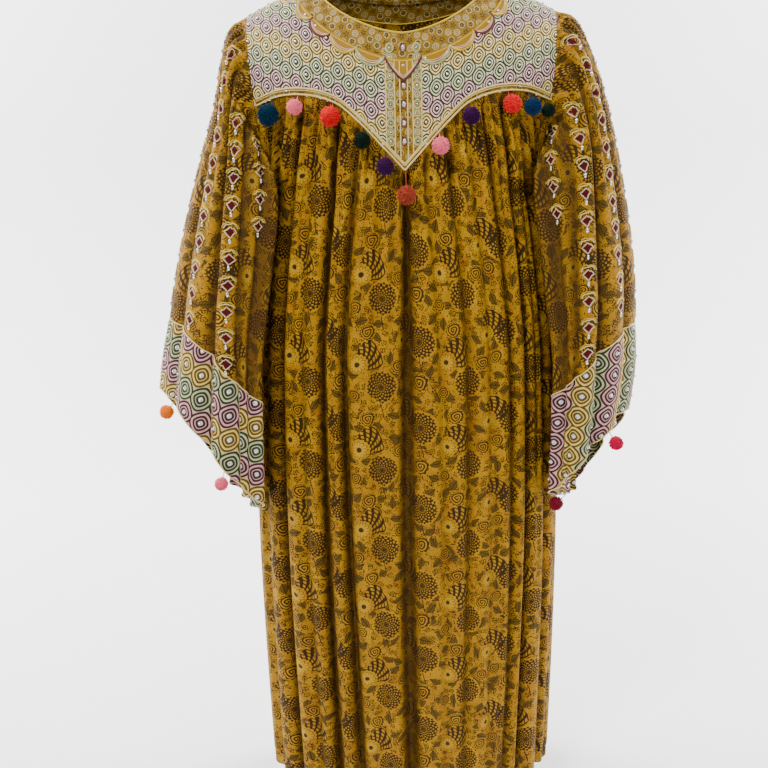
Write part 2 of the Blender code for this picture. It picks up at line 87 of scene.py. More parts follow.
BODY_SECTIONS = [
    # z, side, front, back
    (-0.235, 0.19185, 0.132, 0.108),
    (-0.280, 0.2040, 0.134, 0.110),
    (-0.340, 0.2145, 0.136, 0.112),
    (-0.450, 0.2260, 0.138, 0.115),
    (-0.600, 0.2360, 0.139, 0.118),
    (-0.800, 0.2430, 0.141, 0.122),
    (-1.000, 0.2440, 0.143, 0.126),
    (-1.218, 0.2420, 0.146, 0.130),
]
YOKE_EDGE = [
    # distance from centre, z
    (0.000, -0.199),
    (0.030, -0.167),
    (0.060, -0.136),
    (0.085, -0.115),
    (0.110, -0.105),
    (0.140, -0.101),
    (0.170, -0.104),
    (0.200, -0.116),
]
FRONT_FOLDS = [
    # place at yoke, place at hem, depth under yoke, depth at hip, depth at hem
    (0.050, 0.040, 0.007, 0.009, 0.008),
    (0.125, 0.135, 0.007, 0.004, 0.003),
    (0.190, 0.225, 0.010, 0.012, 0.014),
    (0.250, 0.300, 0.006, 0.005, 0.006),
    (0.310, 0.352, 0.010, 0.015, 0.017),
    (0.370, 0.405, 0.008, 0.012, 0.012),
    (0.435, 0.452, 0.006, 0.004, 0.003),
    (0.500, 0.500, 0.011, 0.015, 0.018),
    (0.560, 0.556, 0.007, 0.004, 0.003),
    (0.615, 0.600, 0.009, 0.006, 0.005),
    (0.675, 0.655, 0.006, 0.004, 0.003),
    (0.735, 0.705, 0.009, 0.010, 0.008),
    (0.795, 0.752, 0.010, 0.013, 0.015),
    (0.855, 0.845, 0.008, 0.009, 0.009),
    (0.925, 0.950, 0.008, 0.008, 0.007),
]
BACK_FOLDS = [
    (0.070, 0.060, 0.007, 0.009, 0.009),
    (0.150, 0.150, 0.008, 0.007, 0.006),
    (0.230, 0.245, 0.009, 0.012, 0.014),
    (0.310, 0.325, 0.007, 0.006, 0.005),
    (0.385, 0.400, 0.009, 0.012, 0.013),
    (0.460, 0.465, 0.007, 0.006, 0.005),
    (0.530, 0.525, 0.009, 0.012, 0.015),
    (0.605, 0.595, 0.007, 0.006, 0.006),
    (0.680, 0.670, 0.009, 0.012, 0.013),
    (0.760, 0.755, 0.007, 0.007, 0.007),
    (0.850, 0.850, 0.009, 0.010, 0.011),
    (0.935, 0.945, 0.007, 0.008, 0.008),
]
SLEEVE_FOLDS = [
    # turn from the outer line at armhole, turn at hem, depth at cap, at elbow, at hem
    (0.020, 0.030, 0.006, 0.006, 0.005),
    (0.120, 0.125, 0.006, 0.009, 0.008),
    (0.215, 0.215, 0.005, 0.007, 0.006),
    (0.320, 0.315, 0.004, 0.008, 0.009),
    (0.430, 0.425, 0.003, 0.006, 0.007),
    (0.540, 0.545, 0.003, 0.006, 0.006),
    (0.640, 0.650, 0.005, 0.010, 0.010),
    (0.735, 0.745, 0.006, 0.007, 0.006),
    (0.825, 0.830, 0.006, 0.009, 0.009),
    (0.920, 0.925, 0.006, 0.007, 0.006),
]
LEFT_SLEEVE = [
    # outer x, outer z, inner x, inner z, middle y, half depth, front in, front rise, back drop
    (0.213, 0.000, 0.19185, -0.235, 0.000, 0.070, 0.000, 0.000, 0.000),
    (0.242, -0.010, 0.2000, -0.248, -0.002, 0.083, 0.000, 0.000, 0.000),
    (0.266, -0.052, 0.2100, -0.282, -0.006, 0.092, 0.004, 0.000, 0.000),
    (0.287, -0.110, 0.2180, -0.330, -0.010, 0.098, 0.010, 0.002, 0.006),
    (0.306, -0.180, 0.2270, -0.385, -0.015, 0.104, 0.022, 0.004, 0.012),
    (0.327, -0.280, 0.2330, -0.455, -0.020, 0.110, 0.034, 0.008, 0.026),
    (0.341, -0.370, 0.2370, -0.515, -0.024, 0.116, 0.043, 0.014, 0.048),
    (0.347, -0.450, 0.2410, -0.580, -0.026, 0.121, 0.051, 0.021, 0.070),
    (0.351, -0.515, 0.2450, -0.650, -0.026, 0.124, 0.057, 0.018, 0.088),
    (0.346, -0.585, 0.2465, -0.728, -0.026, 0.125, 0.060, 0.012, 0.100),
]
RIGHT_SLEEVE = [
    (0.213, 0.000, 0.19185, -0.235, 0.000, 0.070, 0.000, 0.000, 0.000),
    (0.238, -0.014, 0.2000, -0.248, -0.002, 0.083, 0.000, 0.000, 0.000),
    (0.254, -0.060, 0.2100, -0.282, -0.006, 0.092, 0.004, 0.000, 0.000),
    (0.267, -0.118, 0.2180, -0.330, -0.010, 0.098, 0.010, 0.002, 0.006),
    (0.291, -0.190, 0.2270, -0.385, -0.015, 0.104, 0.022, 0.004, 0.012),
    (0.317, -0.275, 0.2330, -0.450, -0.020, 0.110, 0.034, 0.008, 0.026),
    (0.338, -0.355, 0.2370, -0.515, -0.026, 0.115, 0.043, 0.014, 0.045),
    (0.354, -0.425, 0.2410, -0.580, -0.030, 0.120, 0.051, 0.012, 0.066),
    (0.368, -0.480, 0.2450, -0.655, -0.030, 0.123, 0.057, 0.000, 0.078),
    (0.378, -0.532, 0.2465, -0.730, -0.030, 0.125, 0.060, -0.014, 0.088),
]
CUFF_TOP = 7 / 9

# Soft troughs (depth above 0) and ridges (below 0) laid over the main folds
FRONT_CREASES = [
    # place at top, place at low end, start, end (0 yoke, 1 hem), half width, depth
    (0.085, 0.080, 0.00, 0.55, 0.010, 0.0045),
    (0.160, 0.172, 0.00, 0.38, 0.009, 0.0050),
    (0.222, 0.262, 0.02, 0.70, 0.011, 0.0045),
    (0.282, 0.330, 0.00, 0.46, 0.009, 0.0050),
    (0.340, 0.372, 0.03, 0.95, 0.010, 0.0050),
    (0.402, 0.430, 0.00, 0.52, 0.008, 0.0045),
    (0.470, 0.478, 0.00, 0.88, 0.011, 0.0060),
    (0.528, 0.530, 0.00, 0.42, 0.008, 0.0050),
    (0.590, 0.578, 0.04, 0.66, 0.010, 0.0040),
    (0.645, 0.628, 0.00, 0.36, 0.008, 0.0050),
    (0.700, 0.668, 0.02, 0.82, 0.010, 0.0042),
    (0.765, 0.728, 0.00, 0.60, 0.010, 0.0050),
    (0.825, 0.800, 0.03, 0.97, 0.012, 0.0050),
    (0.890, 0.900, 0.00, 0.50, 0.011, 0.0045),
    (0.110, 0.120, 0.45, 1.00, 0.016, 0.0050),
    (0.255, 0.262, 0.52, 1.00, 0.013, -0.0030),
    (0.385, 0.392, 0.40, 1.00, 0.012, 0.0060),
    (0.520, 0.532, 0.48, 1.00, 0.014, 0.0045),
    (0.612, 0.625, 0.35, 0.92, 0.018, 0.0040),
    (0.676, 0.684, 0.50, 1.00, 0.012, 0.0045),
    (0.905, 0.895, 0.40, 1.00, 0.016, 0.0050),
]
BACK_CREASES = [
    (0.105, 0.100, 0.00, 0.52, 0.011, 0.0045),
    (0.190, 0.200, 0.00, 0.74, 0.011, 0.0050),
    (0.272, 0.285, 0.02, 0.44, 0.010, 0.0045),
    (0.350, 0.362, 0.00, 0.90, 0.012, 0.0050),
    (0.422, 0.430, 0.00, 0.48, 0.009, 0.0050),
    (0.498, 0.498, 0.03, 0.95, 0.012, 0.0050),
    (0.566, 0.560, 0.00, 0.40, 0.009, 0.0050),
    (0.642, 0.630, 0.02, 0.80, 0.012, 0.0045),
    (0.722, 0.712, 0.00, 0.58, 0.010, 0.0050),
    (0.805, 0.800, 0.04, 0.96, 0.013, 0.0050),
    (0.895, 0.900, 0.00, 0.50, 0.012, 0.0045),
    (0.280, 0.292, 0.50, 1.00, 0.016, -0.0030),
    (0.700, 0.690, 0.45, 1.00, 0.016, 0.0045),
]
SLEEVE_CREASES = [
    # turn at top, turn at low end, start, end (0 armhole, 1 hem), half width, depth
    (0.070, 0.078, 0.00, 0.62, 0.014, 0.0050),
    (0.165, 0.170, 0.00, 0.45, 0.014, 0.0045),
    (0.262, 0.270, 0.03, 0.80, 0.016, 0.0040),
    (0.375, 0.380, 0.10, 0.90, 0.018, 0.0040),
    (0.485, 0.490, 0.20, 0.95, 0.018, 0.0035),
    (0.590, 0.600, 0.10, 0.85, 0.016, 0.0045),
    (0.702, 0.708, 0.00, 1.00, 0.015, 0.0110),
    (0.780, 0.786, 0.00, 0.52, 0.012, 0.0055),
    (0.872, 0.876, 0.00, 0.70, 0.013, 0.0050),
    (0.965, 0.972, 0.02, 0.60, 0.013, 0.0050),
]

# Pompoms, as in the solids
THREAD_RADIUS = 0.0006
LOCK_SHARE = 0.30
POMPOM_CLEAR = 0.0010
YOKE_POMPOMS = [
    # name, x, radius, drop of its middle below the edge, colour
    ("pompom_1_teal", -0.175, 0.0130, 0.0190, "teal"),
    ("pompom_2_rose", -0.141, 0.0095, 0.0130, "rose"),
    ("pompom_3_red", -0.094, 0.0120, 0.0155, "red"),
    ("pompom_4_green", -0.054, 0.0100, 0.0150, "green"),
    ("pompom_5_purple", -0.025, 0.0105, 0.0180, "purple"),
    ("pompom_6_rust", 0.001, 0.0115, 0.0300, "rust"),
    ("pompom_7_rose", 0.046, 0.0105, 0.0150, "rose"),
    ("pompom_8_purple", 0.086, 0.0105, 0.0140, "purple"),
    ("pompom_9_red", 0.140, 0.0110, 0.0145, "red"),
    ("pompom_10_blue", 0.168, 0.0105, 0.0170, "blue"),
    ("pompom_11_green", 0.191, 0.0085, 0.0150, "green"),
]
CUFF_POMPOMS = [
    # name, side, turn round the hem, radius, thread length, colour
    ("cuff_pompom_1_orange", -1, 0.925, 0.0095, 0.004, "orange"),
    ("cuff_pompom_2_rose", -1, 0.784, 0.0090, 0.005, "rose"),
    ("cuff_pompom_3_crimson", 1, 0.877, 0.0095, 0.006, "crimson"),
    ("cuff_pompom_4_maroon", 1, 0.650, 0.0095, 0.005, "maroon"),
]

Colour = tuple[float, float, float]
Place = tuple[float, float]


class Face(Enum):
    """Which way a half of the body looks."""

    FRONT = -1
    BACK = 1


class Wool(Enum):
    """Colours of the pompoms."""

    TEAL = (0.002, 0.022, 0.045)
    ROSE = (0.80, 0.16, 0.22)
    RED = (0.62, 0.010, 0.014)
    GREEN = (0.004, 0.014, 0.008)
    PURPLE = (0.036, 0.004, 0.046)
    RUST = (0.30, 0.045, 0.020)
    BLUE = (0.003, 0.028, 0.080)
    ORANGE = (0.80, 0.20, 0.015)
    CRIMSON = (0.55, 0.006, 0.060)
    MAROON = (0.20, 0.010, 0.025)


def link(name: str, data: bpy.types.ID) -> bpy.types.Object:
    """An object with this data, put into the scene."""
    made = bpy.data.objects.new(name, data)
    bpy.context.scene.collection.objects.link(made)
    return made


def curve_through(places: Sequence[float], values: Sequence[float], at: np.ndarray) -> np.ndarray:
    """Reads a smooth curve through some values.

    Args:
        places: where the values stand, rising.
        values: the values there.
        at: where the curve is read.

    Returns:
        The values read.
    """
    places, values = np.asarray(places, float), np.asarray(values, float)
    at = np.clip(at, places[0], places[-1])
    slopes = np.gradient(values, places)
    i = np.clip(np.searchsorted(places, at) - 1, 0, len(places) - 2)
    span = places[i + 1] - places[i]
    t = (at - places[i]) / span
    rise = t * t * (3 - 2 * t)
    start = t * (1 - t) ** 2 * span * slopes[i]
    end = -(t**2) * (1 - t) * span * slopes[i + 1]
    return values[i] * (1 - rise) + values[i + 1] * rise + start + end


def column(rows: Sequence[tuple], number: int) -> list:
    """One column of a table."""
    return [row[number] for row in rows]


def ease(x: np.ndarray) -> np.ndarray:
    """A smooth step from 0 to 1."""
    x = np.clip(x, 0, 1)
    return x * x * (3 - 2 * x)


def solve_down(
    height_at: Callable, target: Callable, low: float, high: float, like: np.ndarray
) -> np.ndarray:
    """Finds the place down a form where it comes down to a target height.

    Args:
        height_at: height of the form at a place down.
        target: the height wanted there.
        low: highest place tried.
        high: lowest place tried.
        like: an array of the shape wanted.

    Returns:
        Places down, shaped like the last argument.
    """
    top, bottom = np.full_like(like, low), np.full_like(like, high)
    for _ in range(34):
        middle = (top + bottom) / 2
        above = height_at(middle) > target(middle)
        top, bottom = np.where(above, middle, top), np.where(above, bottom, middle)
    return (top + bottom) / 2


def unit(vectors: np.ndarray) -> np.ndarray:
    """Vectors of length 1 with the same directions."""
    return vectors / np.maximum(np.linalg.norm(vectors, axis=-1, keepdims=True), 1e-12)


def outward(point_at: Callable, across: np.ndarray, down: np.ndarray) -> np.ndarray:
    """Unit normals of a form, facing out when across runs to the wearer's left on the front."""
    step = 1e-4
    along = point_at(across + step, down) - point_at(across - step, down)
    below = point_at(across, down + step) - point_at(across, down - step)
    return unit(np.cross(below, along))


@dataclass(frozen=True)
class BodyForm:
    """The front or back of the bodice and skirt: down 0 is the shoulder, 1 the underarm, 2 the hem."""

    face: Face

    def section(self, down: np.ndarray) -> tuple[np.ndarray, ...]:
        """Edge x, y and z and centre y and z of the section at a place down."""
        turn = np.pi * np.clip(down, 1e-5, 1)
        z_low = -UNDERARM_DROP - (down - 1) * (-HEM_Z - UNDERARM_DROP)
        upper = down < 1
        edge_z = np.where(upper, -UNDERARM_DROP * (1 - np.cos(turn)) / 2, z_low)
        reach = SHOULDER_RISE + UNDERARM_DROP
        centre_z = np.where(upper, SHOULDER_RISE - reach * (1 - np.cos(turn)) / 2, z_low)
        heights = [-row[0] for row in BODY_SECTIONS]
        depths = column(BODY_SECTIONS, 2 if self.face is Face.FRONT else 3)
        level = np.cos(turn / 2) ** 2
        rounded = depths[0] * np.sqrt(1 - level**2)
        centre_y = np.where(upper, rounded, curve_through(heights, depths, -z_low))
        edge_y = np.where(upper, ARMHOLE_HALF_DEPTH * np.sin(turn), 0.0)
        side = curve_through(heights, column(BODY_SECTIONS, 1), -z_low)
        edge_x = np.where(upper, SHOULDER_HALF + ARMHOLE_LEAN * edge_z, side)
        return edge_x, edge_y, edge_z, centre_y, centre_z

    def point(self, across: np.ndarray, down: np.ndarray) -> np.ndarray:
        """Points at places across (0 to 1 to the wearer's left) and down."""
        across, down = np.broadcast_arrays(np.asarray(across, float), np.asarray(down, float))
        edge_x, edge_y, edge_z, centre_y, centre_z = self.section(down)
        sweep = np.arccos(np.clip(edge_y / centre_y, 0, 0.999))
        seam = np.where(down < 1, 0.0, SEAM_GAP / 2 / centre_y)
        angle = (2 * across - 1) * (sweep - seam)
        power = 1 - SECTION_BOXINESS * ease((down - 1) * 4)
        half = edge_x / np.sin(sweep)
        x = half * np.sign(angle) * np.abs(np.sin(angle)) ** power
        y = self.face.value * centre_y * np.abs(np.cos(angle)) ** power
        z = edge_z + (centre_z - edge_z) * (1 - np.clip(np.abs(x) / edge_x, 0, 1) ** 2)
        return np.stack([x, y, z], -1)

    def across_of(self, x: np.ndarray, down: np.ndarray) -> np.ndarray:
        """The place across where the form has this x."""
        edge_x, edge_y, _, centre_y, _ = self.section(np.asarray(down, float))
        sweep = np.arccos(np.clip(edge_y / centre_y, 0, 0.999))
        power = 1 - SECTION_BOXINESS * ease((down - 1) * 4)
        part = np.clip(np.abs(x) * np.sin(sweep) / edge_x, 0, 1) ** (1 / power)
        return (np.sign(x) * np.arcsin(part) / sweep + 1) / 2

    def normal(self, across: np.ndarray, down: np.ndarray) -> np.ndarray:
        """Unit normals that face away from the wearer."""
        sign = 1 if self.face is Face.FRONT else -1
        return outward(self.point, across, down) * sign

    def down_at(self, x: np.ndarray, height: np.ndarray, high: float = 1.2) -> np.ndarray:
        """The place down where the form has this x and height."""
        x = np.asarray(x, float)

        def height_at(down: np.ndarray) -> np.ndarray:
            return self.point(self.across_of(x, down), down)[..., 2]

        return solve_down(height_at, lambda down: height, SHOULDER_SEAM, high, x * 1.0)

    def on(self, x: np.ndarray, height: np.ndarray, out: float = 0.0) -> np.ndarray:
        """Points of the form at this x and height, moved out along its normal."""
        down = self.down_at(x, height)
        across = self.across_of(x, down)
        return self.point(across, down) + self.normal(across, down) * out


@dataclass(frozen=True)
class SleeveForm:
    """A sleeve: turn goes once round from the outer line by the back, down from armhole to hem."""

    side: int

    @property
    def rows(self) -> list:
        """The sleeve's own table of rings."""
        return LEFT_SLEEVE if self.side > 0 else RIGHT_SLEEVE

    def point(self, turn: np.ndarray, down: np.ndarray) -> np.ndarray:
        """Points on the wearer's left side, before the other sleeve is mirrored."""
        turn, down = np.broadcast_arrays(np.asarray(turn, float), np.asarray(down, float))
        places = np.linspace(0, 1, len(self.rows))
        ox, oz, ix, iz, my, depth, front_in, front_rise, back_drop = (
            curve_through(places, column(self.rows, k), down) for k in range(9)
        )
        angle = 2 * np.pi * turn
        c, s = np.cos(angle), np.sin(angle)
        front, back = (s * s - s) / 2, (s * s + s) / 2
        x = (ox + ix) / 2 + (ox - ix) / 2 * c - front_in * front + GATHER_GAP
        y = my + depth * s
        z = (oz + iz) / 2 + (oz - iz) / 2 * c + front_rise * front - back_drop * back
        return np.stack([x, y, z], -1)


def fold_dip(
    across: np.ndarray, down: np.ndarray, folds: Sequence[tuple], held: float, wrap: bool
) -> np.ndarray:
    """How far the cloth dips between the ridges of its folds.

    Args:
        across: places across.
        down: places down, 0 at the top and 1 at the hem.
        folds: the table of hollows.
        held: length at the top over which the folds open out.
        wrap: True for a sleeve, whose last fold meets its first.

    Returns:
        Depths in metres.
    """
    at_top, at_hem = np.array(column(folds, 0)), np.array(column(folds, 1))
    depths = [np.array(column(folds, k)) for k in (2, 3, 4)]
    if wrap:
        at_top = np.concatenate([[at_top[-1] - 1], at_top, [at_top[0] + 1]])
        at_hem = np.concatenate([[at_hem[-1] - 1], at_hem, [at_hem[0] + 1]])
        depths = [np.concatenate([d[-1:], d, d[:1]]) for d in depths]
    else:
        at_top = np.concatenate([[-at_top[0]], at_top, [2 - at_top[-1]]])
        at_hem = np.concatenate([[-at_hem[0]], at_hem, [2 - at_hem[-1]]])
        depths = [np.concatenate([d[:1], d, d[-1:]]) for d in depths]
    places = at_top + (at_hem - at_top) * down[..., None]
    i = np.clip((across[..., None] >= places).sum(-1) - 1, 0, len(at_top) - 2)[..., None]

    def beside(values: np.ndarray) -> tuple[np.ndarray, np.ndarray]:
        return tuple(np.take_along_axis(values, k, -1)[..., 0] for k in (i, i + 1))

    left, right = beside(places)
    t = np.clip((across - left) / (right - left), 0, 1)
    upper, lower = ease(down / 0.45), ease((down - 0.45) / 0.55)
    depth = depths[0] * (1 - upper)[..., None] + depths[1] * (upper - lower)[..., None]
    depth = depth + depths[2] * lower[..., None]
    before, after = beside(depth)
    shape = 1 - np.sqrt(np.sin(np.pi * t) ** 2 + FOLD_ROUNDING)
    return (before * (1 - ease(t)) + after * ease(t)) * np.clip(shape, 0, 1) * ease(down / held)


def crease_dip(
    across: np.ndarray, down: np.ndarray, creases: Sequence[tuple], wrap: bool
) -> np.ndarray:
    """Depth of the smaller creases at these places.

    Args:
        across: places across.
        down: places down, 0 at the top and 1 at the hem.
        creases: the table of creases.
        wrap: True for a sleeve.

    Returns:
        Depths in metres, below 0 for a ridge.
    """
    total = np.zeros(np.broadcast(across, down).shape)
    for top, low, start, end, width, depth in creases:
        share = (down - start) / (end - start)
        middle = top + (low - top) * np.clip(share, 0, 1)
        middle = middle + 0.004 * np.sin(5.0 * down + 40.0 * top)
        away = across - middle
        if wrap:
            away = (away + 0.5) % 1.0 - 0.5
        opened = 0.55 + 0.45 * np.clip(share, 0, 1)
        fade = ease((down - start + 0.004) / 0.03 if start < 0.05 else share / 0.25)
        fade = fade * (1 if end > 0.99 else ease((1 - share) / 0.45))
        total = total + depth * fade * np.exp(-((away / (width * opened)) ** 2))
    return total


def deepened(folds: Sequence[tuple], width: float, share: float) -> list[tuple]:
    """Rows for crease_dip that make each fold deeper by a share of its greatest depth."""
    return [(top, hem, 0.0, 1.0, width, share * max(depths)) for top, hem, *depths in folds]


def gather_creases(seed: int, count: int, longest: float, depth: float) -> list[tuple]:
    """Short creases that run down from a gathered seam, uneven in length and spacing.

    Args:
        seed: start of the fixed random numbers.
        count: how many creases.
        longest: length of the longest one, as a share of the piece.
        depth: depth of the deepest one.

    Returns:
        Rows for crease_dip.
    """
    chance = np.random.default_rng(seed)
    rows = []
    for k in range(count):
        place = (k + 0.5 + 0.5 * (chance.random() - 0.5)) / count
        length = longest * (0.3 + 0.7 * chance.random() ** 2)
        drift = (chance.random() - 0.5) * 0.02
        width = (0.16 + 0.12 * chance.random()) / count
        rows.append((place, place + drift, 0.0, length, width, depth * (0.4 + 0.6 * chance.random())))
    return rows


def yoke_edge(x: np.ndarray) -> np.ndarray:
    """Height of the front yoke's lower edge."""
    return curve_through(column(YOKE_EDGE, 0), column(YOKE_EDGE, 1), np.abs(x))


def neck_edge(x: np.ndarray, out: float, drop: float) -> np.ndarray:
    """Height of the neckline, or of the band's outer edge when out is the band's width."""
    half = NECK_HALF + out
    start = SHOULDER_RISE * (1 - (half / SHOULDER_HALF) ** 2)
    bow = (1 - np.clip(np.abs(x) / half, 0, 1) ** NECK_FULLNESS) ** NECK_ROUNDNESS
    return start - (drop + out) * bow


@dataclass
class Sheet:
    """A sheet of cloth on a grid of points, rows down and columns across, with its flat map and, for the
    printed cloth, painted shade in its folds.
    """

    points: np.ndarray
    flat: np.ndarray
    closed: bool = False
    # Painted shade for each point, from the depth of its fold
    hollow: np.ndarray | None = None

    def normals(self) -> np.ndarray:
        """Unit normals of the grid, facing out."""
        padded = self.points
        if self.closed:
            padded = np.concatenate([self.points[:, -2:-1], self.points, self.points[:, 1:2]], 1)
        along = np.gradient(padded, axis=1)
        along = along[:, 1:-1] if self.closed else along
        return unit(np.cross(np.gradient(self.points, axis=0), along))

    def raised(self, height: np.ndarray) -> "Sheet":
        """The sheet moved out by these heights."""
        return Sheet(self.points + self.normals() * height[..., None], self.flat, self.closed)

    def flipped(self) -> "Sheet":
        """The sheet with its columns in the other order."""
        hollow = None if self.hollow is None else self.hollow[:, ::-1]
        return Sheet(self.points[:, ::-1], self.flat[:, ::-1], self.closed, hollow)

    def hemmed(self, rows: int = 4, at_top: bool = False, inset: float = 0.0014) -> "Sheet":
        """The sheet with an edge turned under, inside and back over some rows."""
        order = np.arange(rows) if at_top else -1 - np.arange(rows)
        depth = inset * np.where(np.arange(rows) == 0, 0.5, 1.0)[:, None, None]

        def with_rim(grid: np.ndarray, rim: np.ndarray) -> np.ndarray:
            return np.concatenate([rim[::-1], grid] if at_top else [grid, rim])

        points = with_rim(self.points, self.points[order] - self.normals()[order] * depth)
        hollow = None if self.hollow is None else with_rim(self.hollow, self.hollow[order])
        return Sheet(points, with_rim(self.flat, self.flat[order]), self.closed, hollow)

    def nearest(self, spots: np.ndarray) -> tuple[np.ndarray, np.ndarray]:
        """Points and normals of the sheet at places of its flat map."""
        flat = self.flat.reshape(-1, 2)
        index = [int(np.argmin(((flat - spot) ** 2).sum(-1))) for spot in spots]
        return self.points.reshape(-1, 3)[index], self.normals().reshape(-1, 3)[index]

    def sample(self, rows: np.ndarray, columns: np.ndarray) -> tuple[np.ndarray, np.ndarray]:
        """Points and normals between the grid's own, at fractional rows and columns."""
        rows = np.clip(rows, 0, self.points.shape[0] - 1.001)
        columns = np.clip(columns, 0, self.points.shape[1] - 1.001)
        i, j = rows.astype(int), columns.astype(int)
        s, t = (rows - i)[..., None], (columns - j)[..., None]
        found = []
        for grid in (self.points, self.normals()):
            upper = grid[i, j] * (1 - t) + grid[i, j + 1] * t
            lower = grid[i + 1, j] * (1 - t) + grid[i + 1, j + 1] * t
            found.append(upper * (1 - s) + lower * s)
        return found[0], found[1]

    def build(self, name: str) -> bpy.types.Object:
        """Makes the object, with smooth faces, its map and its painted shade, if it has one, as a point
        attribute.
        """
        rows, columns = self.points.shape[:2]
        kept = columns - 1 if self.closed else columns
        i, j = np.meshgrid(np.arange(rows - 1), np.arange(columns - 1), indexing="ij")
        steps = ((0, 0), (1, 0), (1, 1), (0, 1))
        corners = [((i + di) * kept + (j + dj) % kept).ravel() for di, dj in steps]
        flats = [self.flat[i + di, j + dj].reshape(-1, 2) for di, dj in steps]
        mesh = bpy.data.meshes.new(name)
        vertices = self.points[:, :kept].reshape(-1, 3)
        mesh.from_pydata(vertices.tolist(), [], np.stack(corners, -1).tolist())
        layer = mesh.uv_layers.new(name=MAP)
        layer.data.foreach_set("uv", np.stack(flats, 1).astype(np.float32).ravel())
        mesh.polygons.foreach_set("use_smooth", np.ones(len(mesh.polygons), bool))
        # Painted shade, kept as a point attribute that darkens the printed cloth in its folds
        if self.hollow is not None:
            depth = mesh.attributes.new(PAINTED_SHADE_ATTRIBUTE, "FLOAT", "POINT")
            depth.data.foreach_set("value", self.hollow[:, :kept].astype(np.float32).ravel())
        mesh.update()
        return link(name, mesh)


def lengths(points: np.ndarray) -> np.ndarray:
    """Length along a row of points or down each column of a grid, added up from the first."""
    steps = np.linalg.norm(np.diff(points, axis=0), axis=-1)
    return np.concatenate([np.zeros_like(steps[:1]), np.cumsum(steps, 0)])


def developed(points: np.ndarray, row: int) -> np.ndarray:
    """A flat map of a grid in millimetres, square to its columns at one row."""
    steps = np.diff(points[row], axis=0)
    way = unit(points[row + 1] - points[row - 1])
    way = (way[1:] + way[:-1]) / 2
    along = (steps * way).sum(-1)
    across = np.linalg.norm(steps - along[:, None] * way, axis=-1)
    u = np.concatenate([[0.0], np.cumsum(across)])
    down = lengths(points)
    v = down - down[row] + np.concatenate([[0.0], np.cumsum(along)])
    return np.stack([np.broadcast_to(u - u.mean(), v.shape), v], -1) / MM


def joined(name: str, parts: Sequence[tuple[np.ndarray, list, int]], smooth: bool = True) -> bpy.types.Object:
    """One object made of many small meshes.

    Args:
        name: name of the object.
        parts: points, faces and material number of each.
        smooth: whether its faces are smooth.

    Returns:
        The object.
    """
    vertices, faces, numbers, start = [], [], [], 0
    for points, loops, number in parts:
        vertices.append(np.asarray(points, float))
        faces += [tuple(v + start for v in loop) for loop in loops]
        numbers += [number] * len(loops)
        start += len(points)
    mesh = bpy.data.meshes.new(name)
    mesh.from_pydata(np.concatenate(vertices).tolist(), [], faces)
    mesh.polygons.foreach_set("material_index", np.array(numbers, np.int32))
    mesh.polygons.foreach_set("use_smooth", np.full(len(faces), smooth, bool))
    mesh.update()
    return link(name, mesh)


def tube(path: np.ndarray, radius: float, sides: int = 6, twist: float = 0.0, strands: int = 0,
         closed: bool = False, normals: np.ndarray | None = None, flat: float = 1.0) -> tuple:
    """Points and faces of a cord along a path.

    Args:
        path: points of its middle.
        radius: half its width.
        sides: corners of its section.
        twist: turns of its strands per metre.
        strands: how many strands show round it, or 0 for a plain cord.
        closed: whether its end meets its start.
        normals: directions that its section's top faces.
        flat: share of its width that its height has.

    Returns:
        Points and faces.
    """
    path = np.asarray(path, float)
    ahead = unit(np.roll(path, -1, 0) - np.roll(path, 1, 0) if closed else np.gradient(path, axis=0))
    if normals is None:
        normals = np.broadcast_to(np.array([0.0, -1.0, 0.01]), path.shape)
    side = unit(np.cross(ahead, normals))
    top = np.cross(side, ahead)
    angle = 2 * np.pi * np.arange(sides) / sides
    phase = 2 * np.pi * twist * lengths(path)[:, None]
    bulge = 1 + 0.22 * np.abs(np.cos(strands / 2 * (angle[None] + phase))) if strands else 1.0
    reach = radius * bulge * np.ones((len(path), sides))
    ring = side[:, None] * (np.cos(angle) * reach)[..., None]
    ring = ring + top[:, None] * (np.sin(angle) * reach * flat)[..., None]
    points = (path[:, None] + ring).reshape(-1, 3)
    count = len(path)
    faces = []
    for i in range(count if closed else count - 1):
        for k in range(sides):
            a, b = i * sides, (i + 1) % count * sides
            faces.append((a + k, b + k, b + (k + 1) % sides, a + (k + 1) % sides))
    if not closed:
        faces += [tuple(range(sides)), tuple(range((count - 1) * sides, count * sides))[::-1]]
    return points, faces


def ball(subdivisions: int) -> tuple[np.ndarray, list]:
    """Points and faces of a ball of radius 1."""
    work = bmesh.new()
    bmesh.ops.create_icosphere(work, subdivisions=subdivisions, radius=1.0)
    points = np.array([v.co for v in work.verts])
    faces = [tuple(v.index for v in f.verts) for f in work.faces]
    work.free()
    return points, faces


def beads(spots: np.ndarray, normals: np.ndarray, radius: float, number: int = 0,
          flat: float = 0.8) -> list[tuple]:
    """Round beads that sit on a sheet, as parts for joined."""
    shape, faces = ball(1)
    rows = []
    for spot, normal in zip(spots, normals):
        along = shape @ normal
        squashed = shape - np.outer(along, normal) * (1 - flat)
        rows.append((spot + normal * radius * flat * 0.75 + squashed * radius, faces, number))
    return rows


